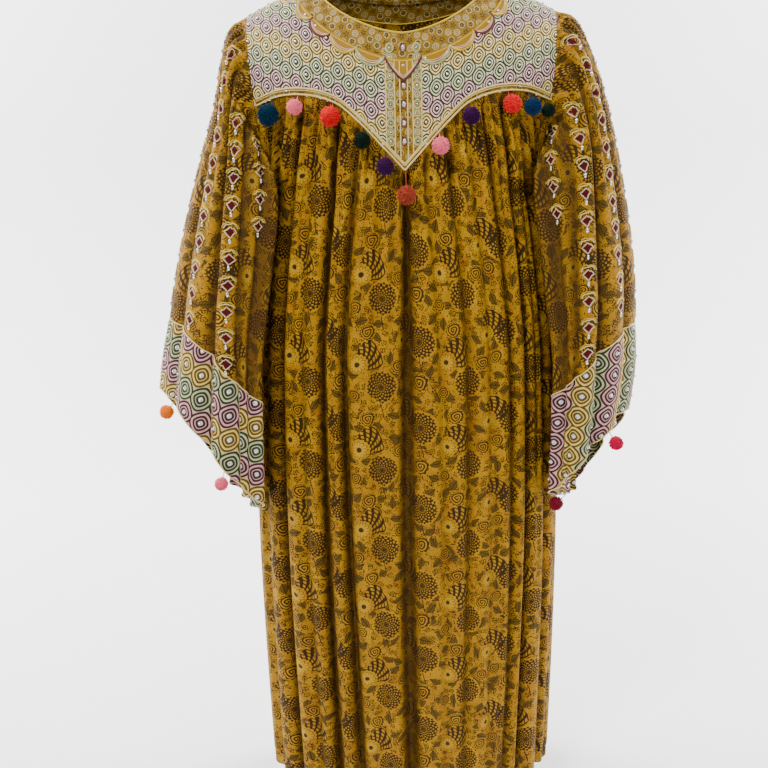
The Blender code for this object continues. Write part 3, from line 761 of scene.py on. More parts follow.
class Value:
    """A number in a node tree, with the usual arithmetic."""

    def __init__(self, graph: "Graph", socket: bpy.types.NodeSocket) -> None:
        """Keeps the tree's graph and the socket that gives the number."""
        self.graph, self.socket = graph, socket

    def __add__(self, other: "Value | float") -> "Value":
        """Sum."""
        return self.graph.math("ADD", self, other)

    def __sub__(self, other: "Value | float") -> "Value":
        """Difference."""
        return self.graph.math("SUBTRACT", self, other)

    def __rsub__(self, other: float) -> "Value":
        """Difference from a plain number."""
        return self.graph.math("SUBTRACT", other, self)

    def __mul__(self, other: "Value | float") -> "Value":
        """Product."""
        return self.graph.math("MULTIPLY", self, other)

    def __truediv__(self, other: "Value | float") -> "Value":
        """Quotient."""
        return self.graph.math("DIVIDE", self, other)

    __radd__ = __add__
    __rmul__ = __mul__

    def __getattr__(self, name: str) -> Callable:
        """Any other math node by its name in small letters, such as sine or floor."""
        if name.startswith("_"):
            raise AttributeError(name)
        return lambda *others: self.graph.math(name.upper(), self, *others)

    def rise(self, low: float, high: float) -> "Value":
        """A smooth step between two values of this number."""
        node = self.graph.put("ShaderNodeMapRange", {"Value": self, "From Min": low, "From Max": high},
                              interpolation_type="SMOOTHSTEP")
        return Value(self.graph, node.outputs["Result"])


class Graph:
    """Adds nodes to a node tree and joins them."""

    def __init__(self, tree: bpy.types.NodeTree) -> None:
        """Keeps the tree."""
        self.tree = tree

    def put(self, kind: str, inputs: dict | None = None, **settings: object) -> bpy.types.Node:
        """Adds a node with these settings, and joins its inputs by name or number."""
        node = self.tree.nodes.new(kind)
        for name, value in settings.items():
            setattr(node, name, value)
        for key, value in (inputs or {}).items():
            self.join(value, node.inputs[key])
        return node

    def join(self, source: object, socket: bpy.types.NodeSocket) -> None:
        """Links a source to a socket, or sets the socket to a plain value."""
        if isinstance(source, Value):
            source = source.socket
        if isinstance(source, bpy.types.NodeSocket):
            self.tree.links.new(source, socket)
        elif isinstance(source, tuple) and len(source) == 3 and socket.type == "RGBA":
            socket.default_value = (*source, 1.0)
        else:
            socket.default_value = source

    def math(self, operation: str, *values: object) -> Value:
        """A math node on these values."""
        node = self.put("ShaderNodeMath", dict(enumerate(values)), operation=operation)
        return Value(self, node.outputs[0])

    def vector_math(self, operation: str, *values: object) -> bpy.types.NodeSocket:
        """A vector math node on these values."""
        return self.put("ShaderNodeVectorMath", dict(enumerate(values)), operation=operation).outputs[0]

    def mix(self, share: object, low: object, high: object, blend: str = "MIX") -> bpy.types.NodeSocket:
        """A mix of two colours."""
        node = self.put("ShaderNodeMix", data_type="RGBA", blend_type=blend)
        self.join(share, node.inputs["Factor"])
        colours = [socket for socket in node.inputs if socket.type == "RGBA"]
        self.join(low, colours[0])
        self.join(high, colours[1])
        return next(socket for socket in node.outputs if socket.type == "RGBA")

    def noise(self, vector: object, scale: object, detail: float = 2.0, rough: float = 0.5,
              output: str = "Fac") -> Value:
        """Smooth noise from 0 to 1."""
        inputs = {"Vector": vector, "Scale": scale, "Detail": detail, "Roughness": rough}
        return Value(self, self.put("ShaderNodeTexNoise", inputs).outputs[output])

    def flat_map(self) -> bpy.types.NodeSocket:
        """The cloth's flat map, in millimetres."""
        return self.put("ShaderNodeUVMap", uv_map=MAP).outputs["UV"]

    def place(self) -> bpy.types.NodeSocket:
        """Places in the object's own space, in metres."""
        return self.put("ShaderNodeTexCoord").outputs["Object"]

    def split(self, vector: object) -> tuple[Value, Value, Value]:
        """The three numbers of a vector."""
        node = self.put("ShaderNodeSeparateXYZ", {0: vector})
        return tuple(Value(self, socket) for socket in node.outputs)

    def group(self, name: str, **values: object) -> dict[str, bpy.types.NodeSocket]:
        """Places a node group and gives its outputs by name."""
        inputs = {key.replace("_", " "): value for key, value in values.items()}
        node = self.put("ShaderNodeGroup", inputs, node_tree=bpy.data.node_groups[name])
        return {socket.name: socket for socket in node.outputs}

    def bump(self, height: object, strength: float, distance: float) -> bpy.types.NodeSocket:
        """A bump from a height."""
        inputs = {"Strength": strength, "Distance": distance, "Height": height}
        return self.put("ShaderNodeBump", inputs).outputs["Normal"]


def new_group(name: str, numbers: dict[str, float], *outputs: str) -> tuple[Graph, dict, dict]:
    """Starts a node group that takes a vector and some numbers, and gives numbers.

    Args:
        name: its name.
        numbers: default value of each number that it takes.
        outputs: names of the numbers that it gives.

    Returns:
        Its graph, its inputs by name and its output sockets by name.
    """
    tree = bpy.data.node_groups.new(name, "ShaderNodeTree")
    tree.interface.new_socket(name="Vector", in_out="INPUT", socket_type="NodeSocketVector")
    for key, value in numbers.items():
        socket = tree.interface.new_socket(name=key, in_out="INPUT", socket_type="NodeSocketFloat")
        socket.default_value = value
    for key in outputs:
        tree.interface.new_socket(name=key, in_out="OUTPUT", socket_type="NodeSocketFloat")
    graph = Graph(tree)
    source, sink = graph.put("NodeGroupInput"), graph.put("NodeGroupOutput")
    taken = {key: Value(graph, source.outputs[key]) for key in ("Vector", *numbers)}
    return graph, taken, {key: sink.inputs[key] for key in outputs}


# Eyes of the cord embroidery: how round they are, and where their rings of cord lie
EYE_POWER = 1.55
BEAD_AT = 0.12


@dataclass(frozen=True)
class EyePattern:
    """Rows of staggered eyes in cord, in bands of three colours."""

    width: float
    height: float
    dip: float = 0.0
    start: float = 0.0
    slim: float = 1.3
    ring_at: float = 0.74
    ring_step: float = 0.22
    band_rows: float = 2.0

    def inputs(self) -> dict[str, float]:
        """This pattern's values by the names of the group's inputs, such as Ring at."""
        return {key.replace("_", " ").capitalize(): value for key, value in vars(self).items()}

    def read(self, flat: np.ndarray) -> np.ndarray:
        """Distance from the nearest eye's middle, 1 at its corners, over a flat map."""
        u, v = flat[..., 0], flat[..., 1] + self.dip * np.abs(flat[..., 0]) + self.start
        found = []
        for shift in (0.0, 0.5):
            across = u / self.width - shift
            down = v / self.height - shift
            x, y = (across - np.round(across)) * self.slim, down - np.round(down)
            found.append(2 * (np.abs(x) ** EYE_POWER + np.abs(y) ** EYE_POWER) ** (1 / EYE_POWER))
        return np.minimum(*found)

    def relief(self, flat: np.ndarray) -> np.ndarray:
        """Height of the cords, from 0 to 1."""
        far = self.read(flat)
        ring = 0.5 + 0.5 * np.cos(2 * np.pi * (far - self.ring_at) / self.ring_step)
        return np.where(far < BEAD_AT, 0.2, ring)

    def centres(self, flat: np.ndarray, margin: float = 1.4) -> np.ndarray:
        """Middles of the eyes that lie inside a sheet's flat map."""
        low, high = flat.reshape(-1, 2).min(0), flat.reshape(-1, 2).max(0)
        spots = []
        for shift in (0.0, 0.5):
            for i in range(math.floor(low[0] / self.width) - 1, math.ceil(high[0] / self.width) + 2):
                u = (i + shift) * self.width
                lift = self.dip * abs(u) + self.start
                first = math.floor((low[1] + lift) / self.height) - 1
                last = math.ceil((high[1] + lift) / self.height) + 2
                spots += [(u, (j + shift) * self.height - lift) for j in range(first, last)]
        cloud = flat.reshape(-1, 2)
        return np.array([s for s in spots if ((cloud - s) ** 2).sum(-1).min() < margin])


YOKE_EYES = EyePattern(29.0, 27.5, dip=0.21, start=22.0, ring_at=0.71, ring_step=0.30)
CUFF_EYES = EyePattern(31.0, 66.0, start=-14.0, slim=0.52, ring_at=0.44, ring_step=0.205, band_rows=1.0)


class Effects:
    """The shader node groups that more than one finish uses."""

    def build(self) -> None:
        """Makes every group once."""
        self.weave()
        self.drift()
        self.eyes()
        self.prints()
        self.strands()
        self.sewn()

    def weave(self) -> None:
        """Threads crossing over and under, with slubs, and painted shade where threads pass under."""
        graph, taken, out = new_group("weave", {"Threads per mm": 2.0}, "Height", "Shade")
        u, v, _ = graph.split(taken["Vector"])
        rate = taken["Threads per mm"] * math.tau
        over = (u * rate).sine() * (v * rate).sine()
        slub = graph.noise(taken["Vector"], 0.35, 3.0, 0.6)
        graph.join(over * 0.5 + 0.5, out["Height"])
        # Painted shade: the colour follows the crossings, darker where a thread passes under; the slubs are
        # uneven yarn
        graph.join(over * 0.06 + slub * 0.24 + 0.85, out["Shade"])

    def drift(self) -> None:
        """Slow uneven colour, as from dyeing and wear."""
        graph, taken, out = new_group("drift", {"Scale": 0.02, "Amount": 0.2}, "Shade")
        cloud = graph.noise(taken["Vector"], taken["Scale"], 3.0)
        graph.join((cloud - 0.5) * taken["Amount"] * 2.0 + 1.0, out["Shade"])

    def eyes(self) -> None:
        """The rows of staggered eyes: where cord lies, which band, and each eye's middle."""
        graph, taken, out = new_group("eyes", CUFF_EYES.inputs(), "Cord", "Band", "Middle")
        u, v, _ = graph.split(taken["Vector"])
        v = v + taken["Dip"] * u.absolute() + taken["Start"]
        found = []
        for shift in (0.0, 0.5):
            across, down = u / taken["Width"] - shift, v / taken["Height"] - shift
            x = (across - across.round()).absolute() * taken["Slim"]
            y = (down - down.round()).absolute()
            far = (x.power(EYE_POWER) + y.power(EYE_POWER)).power(1 / EYE_POWER) * 2.0
            found.append((far, down.round() * 2.0 + 2 * shift))
        (near, row), (other, other_row) = found
        swap = near.greater_than(other)
        far = near.minimum(other)
        row = row + (other_row - row) * swap
        cord = ((far - taken["Ring at"]) * math.tau / taken["Ring step"]).cosine() * 0.5 + 0.5
        round_bead = far.rise(0.12, 0.17) * (1.0 - far.rise(0.20, 0.27))
        graph.join(cord.rise(0.36, 0.76) * (1.0 - round_bead), out["Cord"])
        graph.join(((row + 0.25) / (taken["Band rows"] * 3.0)).fract(), out["Band"])
        graph.join(1.0 - far.rise(BEAD_AT - 0.03, BEAD_AT + 0.02), out["Middle"])

    def sewn(self) -> None:
        """Flowers, rings round beads and curling lines, in rows on gold cloth."""
        graph, taken, out = new_group("sewn", {"Pitch": 11.0}, "Flower", "Ring", "Line")
        u, v, _ = graph.split(taken["Vector"])
        across, down = u / taken["Pitch"], v / taken["Pitch"]
        down = down + (across.floor() * 0.5).fract()
        odd = ((across.floor() + down.floor() * 2.0) / 3.0).fract()
        x, y = across.fract() - 0.5, down.fract() - 0.5
        far = (x * x + y * y).sqrt()
        turn = graph.math("ARCTAN2", y, x)
        edge = (turn * 2.5).sine().absolute() * 0.14 + 0.27
        flower = (edge - far).rise(0.0, 0.06) * far.rise(0.07, 0.11)
        petals = (turn * 5.0).sine().rise(-0.6, -0.2)
        graph.join(flower * petals * odd.less_than(0.5), out["Flower"])
        rings = 1.0 - (far - 0.36).absolute().rise(0.03, 0.07)
        inner = (1.0 - (far - 0.17).absolute().rise(0.03, 0.06)) * odd.greater_than(0.5)
        graph.join((rings * odd.greater_than(0.2)).maximum(inner), out["Ring"])
        curl = graph.noise(taken["Vector"], 0.25, 1.0)
        graph.join(1.0 - ((curl * 8.0).fract() - 0.5).absolute().rise(0.08, 0.18), out["Line"])

    def strands(self) -> None:
        """Fine twisted strands of a cord or of wool, with painted shade where they lie lower."""
        graph, taken, out = new_group("strands", {"Scale": 900.0}, "Height", "Shade")
        fine = graph.noise(taken["Vector"], taken["Scale"])
        graph.join(fine, out["Height"])
        # Painted shade: the colour follows the strands' bump, darker where they lie lower
        graph.join(fine * 0.5 + 0.75, out["Shade"])

    def motif_frame(self, graph: Graph, u: Value, v: Value, centre: Place, tile: Place) -> tuple:
        """Distance and direction from a motif's repeated middle."""
        x = graph.math("WRAP", u - centre[0], tile[0] / 2, -tile[0] / 2)
        y = graph.math("WRAP", v - centre[1], tile[1] / 2, -tile[1] / 2)
        far = (x * x + y * y).sqrt()
        return x, y, far, graph.math("ARCTAN2", y, x)

    def scattered(self, graph: Graph, vector: object, size: float, seed: float) -> tuple:
        """Places in small cells that are each turned: x and y in millimetres, and random numbers."""
        mapped = graph.vector_math(
            "MULTIPLY_ADD", vector, (1 / size, 1 / size, 0.0), (seed, seed * 0.7, 0.0)
        )
        cell = graph.put("ShaderNodeTexVoronoi", {"Vector": mapped, "Scale": 1.0, "Randomness": 0.75},
                         voronoi_dimensions="2D", feature="F1")
        apart = graph.vector_math("SUBTRACT", mapped, cell.outputs["Position"])
        chance = graph.split(cell.outputs["Color"])
        turned = graph.put("ShaderNodeVectorRotate", {"Vector": apart, "Angle": chance[0] * math.tau},
                           rotation_type="Z_AXIS")
        x, y, _ = graph.split(turned.outputs[0])
        return x * size, y * size, chance

    def prints(self) -> None:
        """The flower print: dark line, leaf fill, pale petals and warm blots."""
        graph, taken, out = new_group("prints", {}, "Ink", "Leaf", "Pale", "Blot")
        bend = graph.noise(taken["Vector"], 0.05, output="Color")
        warped = graph.vector_math("MULTIPLY_ADD", bend, (5.0, 5.0, 0.0), taken["Vector"])
        u, v, _ = graph.split(warped)
        tile = (160.0, 130.0)
        ink, pale, covered = 0.0, 0.0, 0.0

        def over(old: Value | float, new: Value) -> Value:
            return graph.math("MAXIMUM", old, new)

        blooms = (((35.0, 30.0), 26.0, 15.0), ((115.0, 95.0), 25.0, 14.0))
        for centre, size, petals in blooms:
            x, y, far, turn = self.motif_frame(graph, u, v, centre, tile)
            reach = far / size
            edge = (turn * petals).sine().absolute() * 0.15 + 0.84
            inside = (edge - reach).rise(0.0, 0.03)
            ring = reach * 7.2
            step = ring.floor()
            dash = (turn * (petals + 1.0) + step * math.pi).cosine().rise(-0.1, 0.4)
            dash = dash * (ring - step).rise(0.30, 0.46) * reach.rise(0.08, 0.16)
            ink = over(ink, inside * (1.0 - dash * 0.92))
            covered = over(covered, (1.06 - reach).rise(0.0, 0.05))
            stem = (x + (y * 0.09).sine() * 3.0 - 2.0).absolute()
            stalk = (1.0 - stem.rise(0.5, 1.0)) * y.rise(size * 0.8, size) * (1.0 - y.rise(44.0, 46.0))
            ink = over(ink, stalk)
        daisies = (((78.0, 62.0), 14.0, -0.6), ((152.0, 28.0), 13.0, -0.9))
        for centre, size, lean in daisies:
            x, y, far, turn = self.motif_frame(graph, u, v, centre, tile)
            reach = far / size
            petal = (turn * 6.0).cosine().absolute()
            edge = petal * 0.36 + 0.62
            inside = (edge - reach).rise(0.0, 0.04)
            rim = (edge - reach - 0.05).absolute()
            line = (1.0 - rim.rise(0.04, 0.09)) + (1.0 - petal.rise(0.05, 0.22)) * inside
            heart = 1.0 - reach.rise(0.24, 0.30)
            ink = over(ink, (line + heart).minimum(1.0) * inside)
            pale = over(pale, inside)
            sector = (turn - lean).cosine().rise(0.35, 0.95)
            tail = (reach - 1.08).rise(0.0, 0.05) * (1.0 - (reach - sector * 2.0 - 0.95).rise(0.0, 0.08))
            stripes = (turn * 17.0 + reach * 5.0).sine().rise(-0.2, 0.3)
            ribs = (reach * 16.0).sine().rise(0.2, 0.7)
            ink = over(ink, tail * stripes.maximum(ribs) * sector.rise(0.0, 0.1))
            covered = over(covered, (1.0 - (reach - sector * 2.0 - 1.0).rise(0.0, 0.08)))
        roses = (((34.0, 90.0), 14.5, 5.0), ((92.0, 14.0), 12.5, 7.0), ((142.0, 66.0), 11.0, 6.0),
                 ((72.0, 108.0), 10.0, 5.0), ((8.0, 62.0), 10.5, 8.0))
        for centre, size, lobes in roses:
            x, y, far, turn = self.motif_frame(graph, u, v, centre, tile)
            reach = far / size
            edge = (turn * lobes).sine().absolute() * 0.14 + 0.84
            inside = (edge - reach).rise(0.0, 0.05)
            swirl = (reach * 19.0 - turn + (turn * 3.0).sine() * 0.8).sine().rise(-0.35, 0.15)
            rim = 1.0 - (edge - reach - 0.06).absolute().rise(0.05, 0.10)
            ink = over(ink, swirl.maximum(rim) * inside)
            covered = over(covered, (1.04 - reach).rise(0.0, 0.05))
        bare = 1.0 - covered
        x, y, _ = self.scattered(graph, warped, 27.0, 3.3)
        along = (x + 11.0) / 22.0
        half = (along.maximum(0.0).minimum(1.0) * math.pi).sine() * (1.25 - along * 0.7) * 6.4
        leaf = (half - y.absolute()).rise(0.0, 0.6) * bare
        veins = ((y.absolute() * 1.1 - x) * 1.9).sine().rise(0.35, 0.75)
        midrib = 1.0 - y.absolute().rise(0.35, 0.75)
        outline = 1.0 - (half - y.absolute() - 0.4).absolute().rise(0.4, 0.9)
        ink = over(ink, veins.maximum(midrib).maximum(outline) * leaf)
        x, y, chance = self.scattered(graph, warped, 11.5, 11.7)
        far = (x * x + y * y).sqrt()
        turn = graph.math("ARCTAN2", y, x)
        edge = (turn * 2.5).cosine().absolute() * 1.7 + 2.2
        floret = 1.0 - (edge - far).absolute().rise(0.4, 0.9)
        floret = floret.maximum(1.0 - far.rise(0.8, 1.3)) * chance[1].greater_than(0.30)
        vine = (y + (x * 0.6).sine() * 1.8).absolute()
        vine = (1.0 - vine.rise(0.35, 0.85)) * chance[2].greater_than(0.25) * (1.0 - far.rise(7.0, 9.0))
        web = graph.noise(warped, 0.10, 1.0)
        curl = (1.0 - ((web * 9.0).fract() - 0.5).absolute().rise(0.035, 0.085)) * web.rise(0.30, 0.34)
        vine = vine.maximum(curl)
        free = bare * (1.0 - leaf)
        ink = over(ink, (floret.maximum(vine)) * free)
        speck = graph.noise(taken["Vector"], 0.55, 1.0)
        ink = over(ink, speck.rise(0.66, 0.70) * free * 0.8)
        worn = graph.noise(taken["Vector"], 0.9, 2.0) * 0.5 + 0.72
        graph.join((ink * worn).minimum(1.0), out["Ink"])
        graph.join(leaf, out["Leaf"])
        graph.join(pale, out["Pale"])
        graph.join(graph.noise(taken["Vector"], 0.045, 1.0).rise(0.62, 0.70), out["Blot"])


@dataclass(frozen=True)
class Finish:
    """A surface with the values that are the same all over it."""

    name: str
    roughness: float = 0.75
    sheen: float = 0.0
    specular: float = 0.35

    def start(self) -> tuple[bpy.types.Material, Graph, bpy.types.Node]:
        """An empty material with its shader."""
        made = bpy.data.materials.new(self.name)
        made.use_nodes = True
        graph = Graph(made.node_tree)
        shader = made.node_tree.nodes["Principled BSDF"]
        shader.inputs["Roughness"].default_value = self.roughness
        shader.inputs["Sheen Weight"].default_value = self.sheen
        shader.inputs["Specular IOR Level"].default_value = self.specular
        return made, graph, shader

    def close(self, graph: Graph, shader: bpy.types.Node, colour: object, shades: Sequence[object],
              height: object, strength: float, distance: float) -> None:
        """Gives the shader its colour, darkened by shades, and its bump."""
        for shade in shades:
            colour = graph.mix(1.0, colour, shade, "MULTIPLY")
        graph.join(colour, shader.inputs["Base Color"])
        graph.join(graph.bump(height, strength, distance), shader.inputs["Normal"])


@dataclass(frozen=True)
class PrintedCloth(Finish):
    """Thin mustard cloth with a block print in dark line, and painted shade in its folds."""

    ground: Colour = (0.37, 0.190, 0.001)
    deep: Colour = (0.25, 0.112, 0.001)
    pale: Colour = (0.46, 0.27, 0.012)
    ink: Colour = (0.014, 0.007, 0.001)
    leaf: Colour = (0.050, 0.033, 0.002)
    blot: Colour = (0.36, 0.115, 0.002)
    # Painted shade: the colour that the cloth is darkened towards in its folds
    shade: Colour = (0.030, 0.012, 0.001)

    def make(self) -> bpy.types.Material:
        """Builds the material."""
        made, graph, shader = self.start()
        flat = graph.flat_map()
        drawn = graph.group("prints", Vector=flat)
        weave = graph.group("weave", Vector=flat, Threads_per_mm=1.1)
        shade = graph.group("drift", Vector=flat, Scale=0.02, Amount=0.25)
        colour = graph.mix(Value(graph, shade["Shade"]).rise(0.85, 1.15), self.deep, self.ground)
        colour = graph.mix(Value(graph, drawn["Blot"]) * 0.5, colour, self.blot)
        colour = graph.mix(Value(graph, drawn["Pale"]) * 0.5, colour, self.pale)
        colour = graph.mix(Value(graph, drawn["Leaf"]) * 0.8, colour, self.leaf)
        colour = graph.mix(drawn["Ink"], colour, self.ink)
        # Painted shade: the deeper a point lies in a fold, the nearer its colour comes to the shade colour
        hollow = Value(graph, graph.put("ShaderNodeAttribute", attribute_name=PAINTED_SHADE_ATTRIBUTE).outputs["Fac"])
        colour = graph.mix(hollow.rise(0.18, 1.05) * 0.78, colour, self.shade)
        self.close(graph, shader, colour, [weave["Shade"]], weave["Height"], 0.25, 0.0002)
        return made


@dataclass(frozen=True)
class Embroidery(Finish):
    """Couched cord in rings round staggered eyes, in bands of cream, sage and mauve."""

    pattern: EyePattern = YOKE_EYES
    cords: tuple[Colour, ...] = ((0.74, 0.60, 0.24), (0.55, 0.56, 0.34), (0.64, 0.45, 0.40))
    gaps: tuple[Colour, ...] = ((0.090, 0.045, 0.004), (0.026, 0.025, 0.007), (0.038, 0.009, 0.012))

    def ramp(self, graph: Graph, band: object, colours: Sequence[Colour]) -> bpy.types.NodeSocket:
        """A colour of three by band."""
        node = graph.put("ShaderNodeValToRGB", {0: band})
        ramp = node.color_ramp
        ramp.interpolation = "CONSTANT"
        ramp.elements.new(1 / 3)
        for element, place, colour in zip(ramp.elements, (0.0, 1 / 3, 2 / 3), colours):
            element.position = place
            element.color = (*colour, 1.0)
        return node.outputs["Color"]

    def make(self) -> bpy.types.Material:
        """Builds the material."""
        made, graph, shader = self.start()
        flat = graph.flat_map()
        eyes = graph.group("eyes", Vector=flat, **self.pattern.inputs())
        weave = graph.group("weave", Vector=flat, Threads_per_mm=0.8)
        shade = graph.group("drift", Vector=flat, Scale=0.12, Amount=0.35)
        cords = self.ramp(graph, eyes["Band"], self.cords)
        gaps = self.ramp(graph, eyes["Band"], self.gaps)
        colour = graph.mix(eyes["Cord"], gaps, cords)
        colour = graph.mix(eyes["Middle"], colour, (0.62, 0.62, 0.58))
        shades = [shade["Shade"], weave["Shade"]]
        self.close(graph, shader, colour, shades, weave["Height"], 0.4, 0.0003)
        return made


@dataclass(frozen=True)
class GoldCloth(Finish):
    """Gold cloth sewn with dark green flowers and pale rings."""

    ground: Colour = (0.25, 0.130, 0.002)
    thread: Colour = (0.37, 0.32, 0.16)
    dark: Colour = (0.022, 0.026, 0.009)
    deep: Colour = (0.085, 0.040, 0.001)
    ring: float = 11.0

    def make(self) -> bpy.types.Material:
        """Builds the material."""
        made, graph, shader = self.start()
        flat = graph.flat_map()
        weave = graph.group("weave", Vector=flat, Threads_per_mm=1.0)
        shade = graph.group("drift", Vector=flat, Scale=0.1, Amount=0.3)
        sewn = graph.group("sewn", Vector=flat, Pitch=self.ring)
        colour = graph.mix(sewn["Line"], self.ground, self.deep)
        colour = graph.mix(sewn["Flower"], colour, self.dark)
        colour = graph.mix(sewn["Ring"], colour, self.thread)
        height = Value(graph, sewn["Ring"]) + Value(graph, sewn["Flower"]) * 0.6
        height = height + Value(graph, weave["Height"]) * 0.3
        self.close(graph, shader, colour, [shade["Shade"], weave["Shade"]], height, 0.6, 0.0008)
        return made


@dataclass(frozen=True)
class Thread(Finish):
    """Cord or wool of one colour, with its strands."""

    colour: Colour = (0.6, 0.5, 0.3)
    scale: float = 900.0

    def make(self) -> bpy.types.Material:
        """Builds the material."""
        made, graph, shader = self.start()
        strands = graph.group("strands", Vector=graph.place(), Scale=self.scale)
        self.close(graph, shader, self.colour, [strands["Shade"]], strands["Height"], 0.6, 0.0004)
        return made


@dataclass(frozen=True)
class Bead(Finish):
    """Small metallic beads, with worn roughness."""

    colour: Colour = (0.70, 0.70, 0.66)
    metal: float = 0.8

    def make(self) -> bpy.types.Material:
        """Builds the material."""
        made, graph, shader = self.start()
        shade = graph.group("drift", Vector=graph.place(), Scale=400.0, Amount=0.3)
        colour = graph.mix(1.0, self.colour, shade["Shade"], "MULTIPLY")
        graph.join(colour, shader.inputs["Base Color"])
        shader.inputs["Metallic"].default_value = self.metal
        graph.join(Value(graph, shade["Shade"]) * 0.25, shader.inputs["Roughness"])
        return made


class Finishes:
    """Every material of the dress, made once."""

    def __init__(self) -> None:
        """Makes the node groups and then the materials."""
        Effects().build()
        self.print = PrintedCloth("printed_cloth", 0.72, 0.0, 0.12).make()
        self.yoke = Embroidery("yoke_embroidery", 0.7, 0.0, 0.2).make()
        self.cuff = Embroidery(
            "cuff_embroidery", 0.7, 0.0, 0.2, pattern=CUFF_EYES,
            cords=((0.58, 0.40, 0.085), (0.36, 0.38, 0.19), (0.50, 0.27, 0.25)),
            gaps=((0.070, 0.040, 0.004), (0.016, 0.018, 0.006), (0.028, 0.004, 0.007)),
        ).make()
        self.gold = GoldCloth("gold_cloth", 0.65, 0.0, 0.15).make()
        self.cream = Thread("cream_cord", 0.7, colour=(0.57, 0.43, 0.14)).make()
        self.plum = Thread("plum_cord", 0.7, colour=(0.085, 0.010, 0.018)).make()
        self.lime = Thread("lime_cord", 0.7, colour=(0.42, 0.27, 0.014)).make()
        self.sage = Thread("sage_cord", 0.7, colour=(0.24, 0.27, 0.13)).make()
        self.rose_cord = Thread("rose_cord", 0.7, colour=(0.50, 0.27, 0.24)).make()
        self.white = Thread("white_cord", 0.7, colour=(0.50, 0.35, 0.24)).make()
        self.red_patch = Thread("red_patch", 0.8, 0.0, 0.1, (0.060, 0.003, 0.005)).make()
        self.patch = GoldCloth("gold_patch", 0.65, 0.0, 0.15, ring=9.0).make()
        self.silver = Bead("silver_bead", 0.25).make()
        self.wool = {
            w.name.lower(): Thread("wool_" + w.name.lower(), 0.95, 0.03, 0.05, w.value, 1400.0).make()
            for w in Wool
        }


def settle(piece: bpy.types.Object, slot: str, nodes: Sequence[str], *finishes: bpy.types.Material) -> None:
    """Dresses a piece, puts it on its body and hides the solids that it stands for.

    Args:
        piece: the piece.
        slot: not used.
        nodes: solids that it replaces.
        finishes: its materials in order.
    """
    for finish in finishes:
        piece.data.materials.append(finish)
    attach(piece, "root")
    if nodes:
        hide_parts(*nodes)
    area = sum(polygon.area for polygon in piece.data.polygons)
    LOG.info("%s: %d faces, %.4f square metres", piece.name, len(piece.data.polygons), area)


def sew(name: str, parts: Sequence[tuple], slot: str, *finishes: bpy.types.Material,
        nodes: Sequence[str] = ()) -> None:
    """Makes one piece of many small parts."""
    settle(joined(name, parts), slot, nodes, *finishes)


def lay(cloth: Sheet, node: str, slot: str, finish: bpy.types.Material, **said: object) -> None:
    """Makes the cloth that stands for a solid."""
    piece = cloth.build(node + "_cloth")
    settle(piece, slot, [node], finish)


def fine_columns(folds: Sequence[tuple], count: int, wrap: bool) -> tuple[np.ndarray, np.ndarray]:
    """Places at the top and hem of columns that follow the folds."""
    tops, hems = column(folds, 0), column(folds, 1)
    if wrap:
        start = tops[len(tops) // 2]
        tops, hems = [*tops, *(t + 1 for t in tops)], [*hems, *(h + 1 for h in hems)]
        at_top = np.linspace(start, start + 1, count)
    else:
        tops, hems = [0.0, *tops, 1.0], [0.0, *hems, 1.0]
        at_top = np.linspace(0, 1, count)
    return at_top, np.interp(at_top, tops, hems)


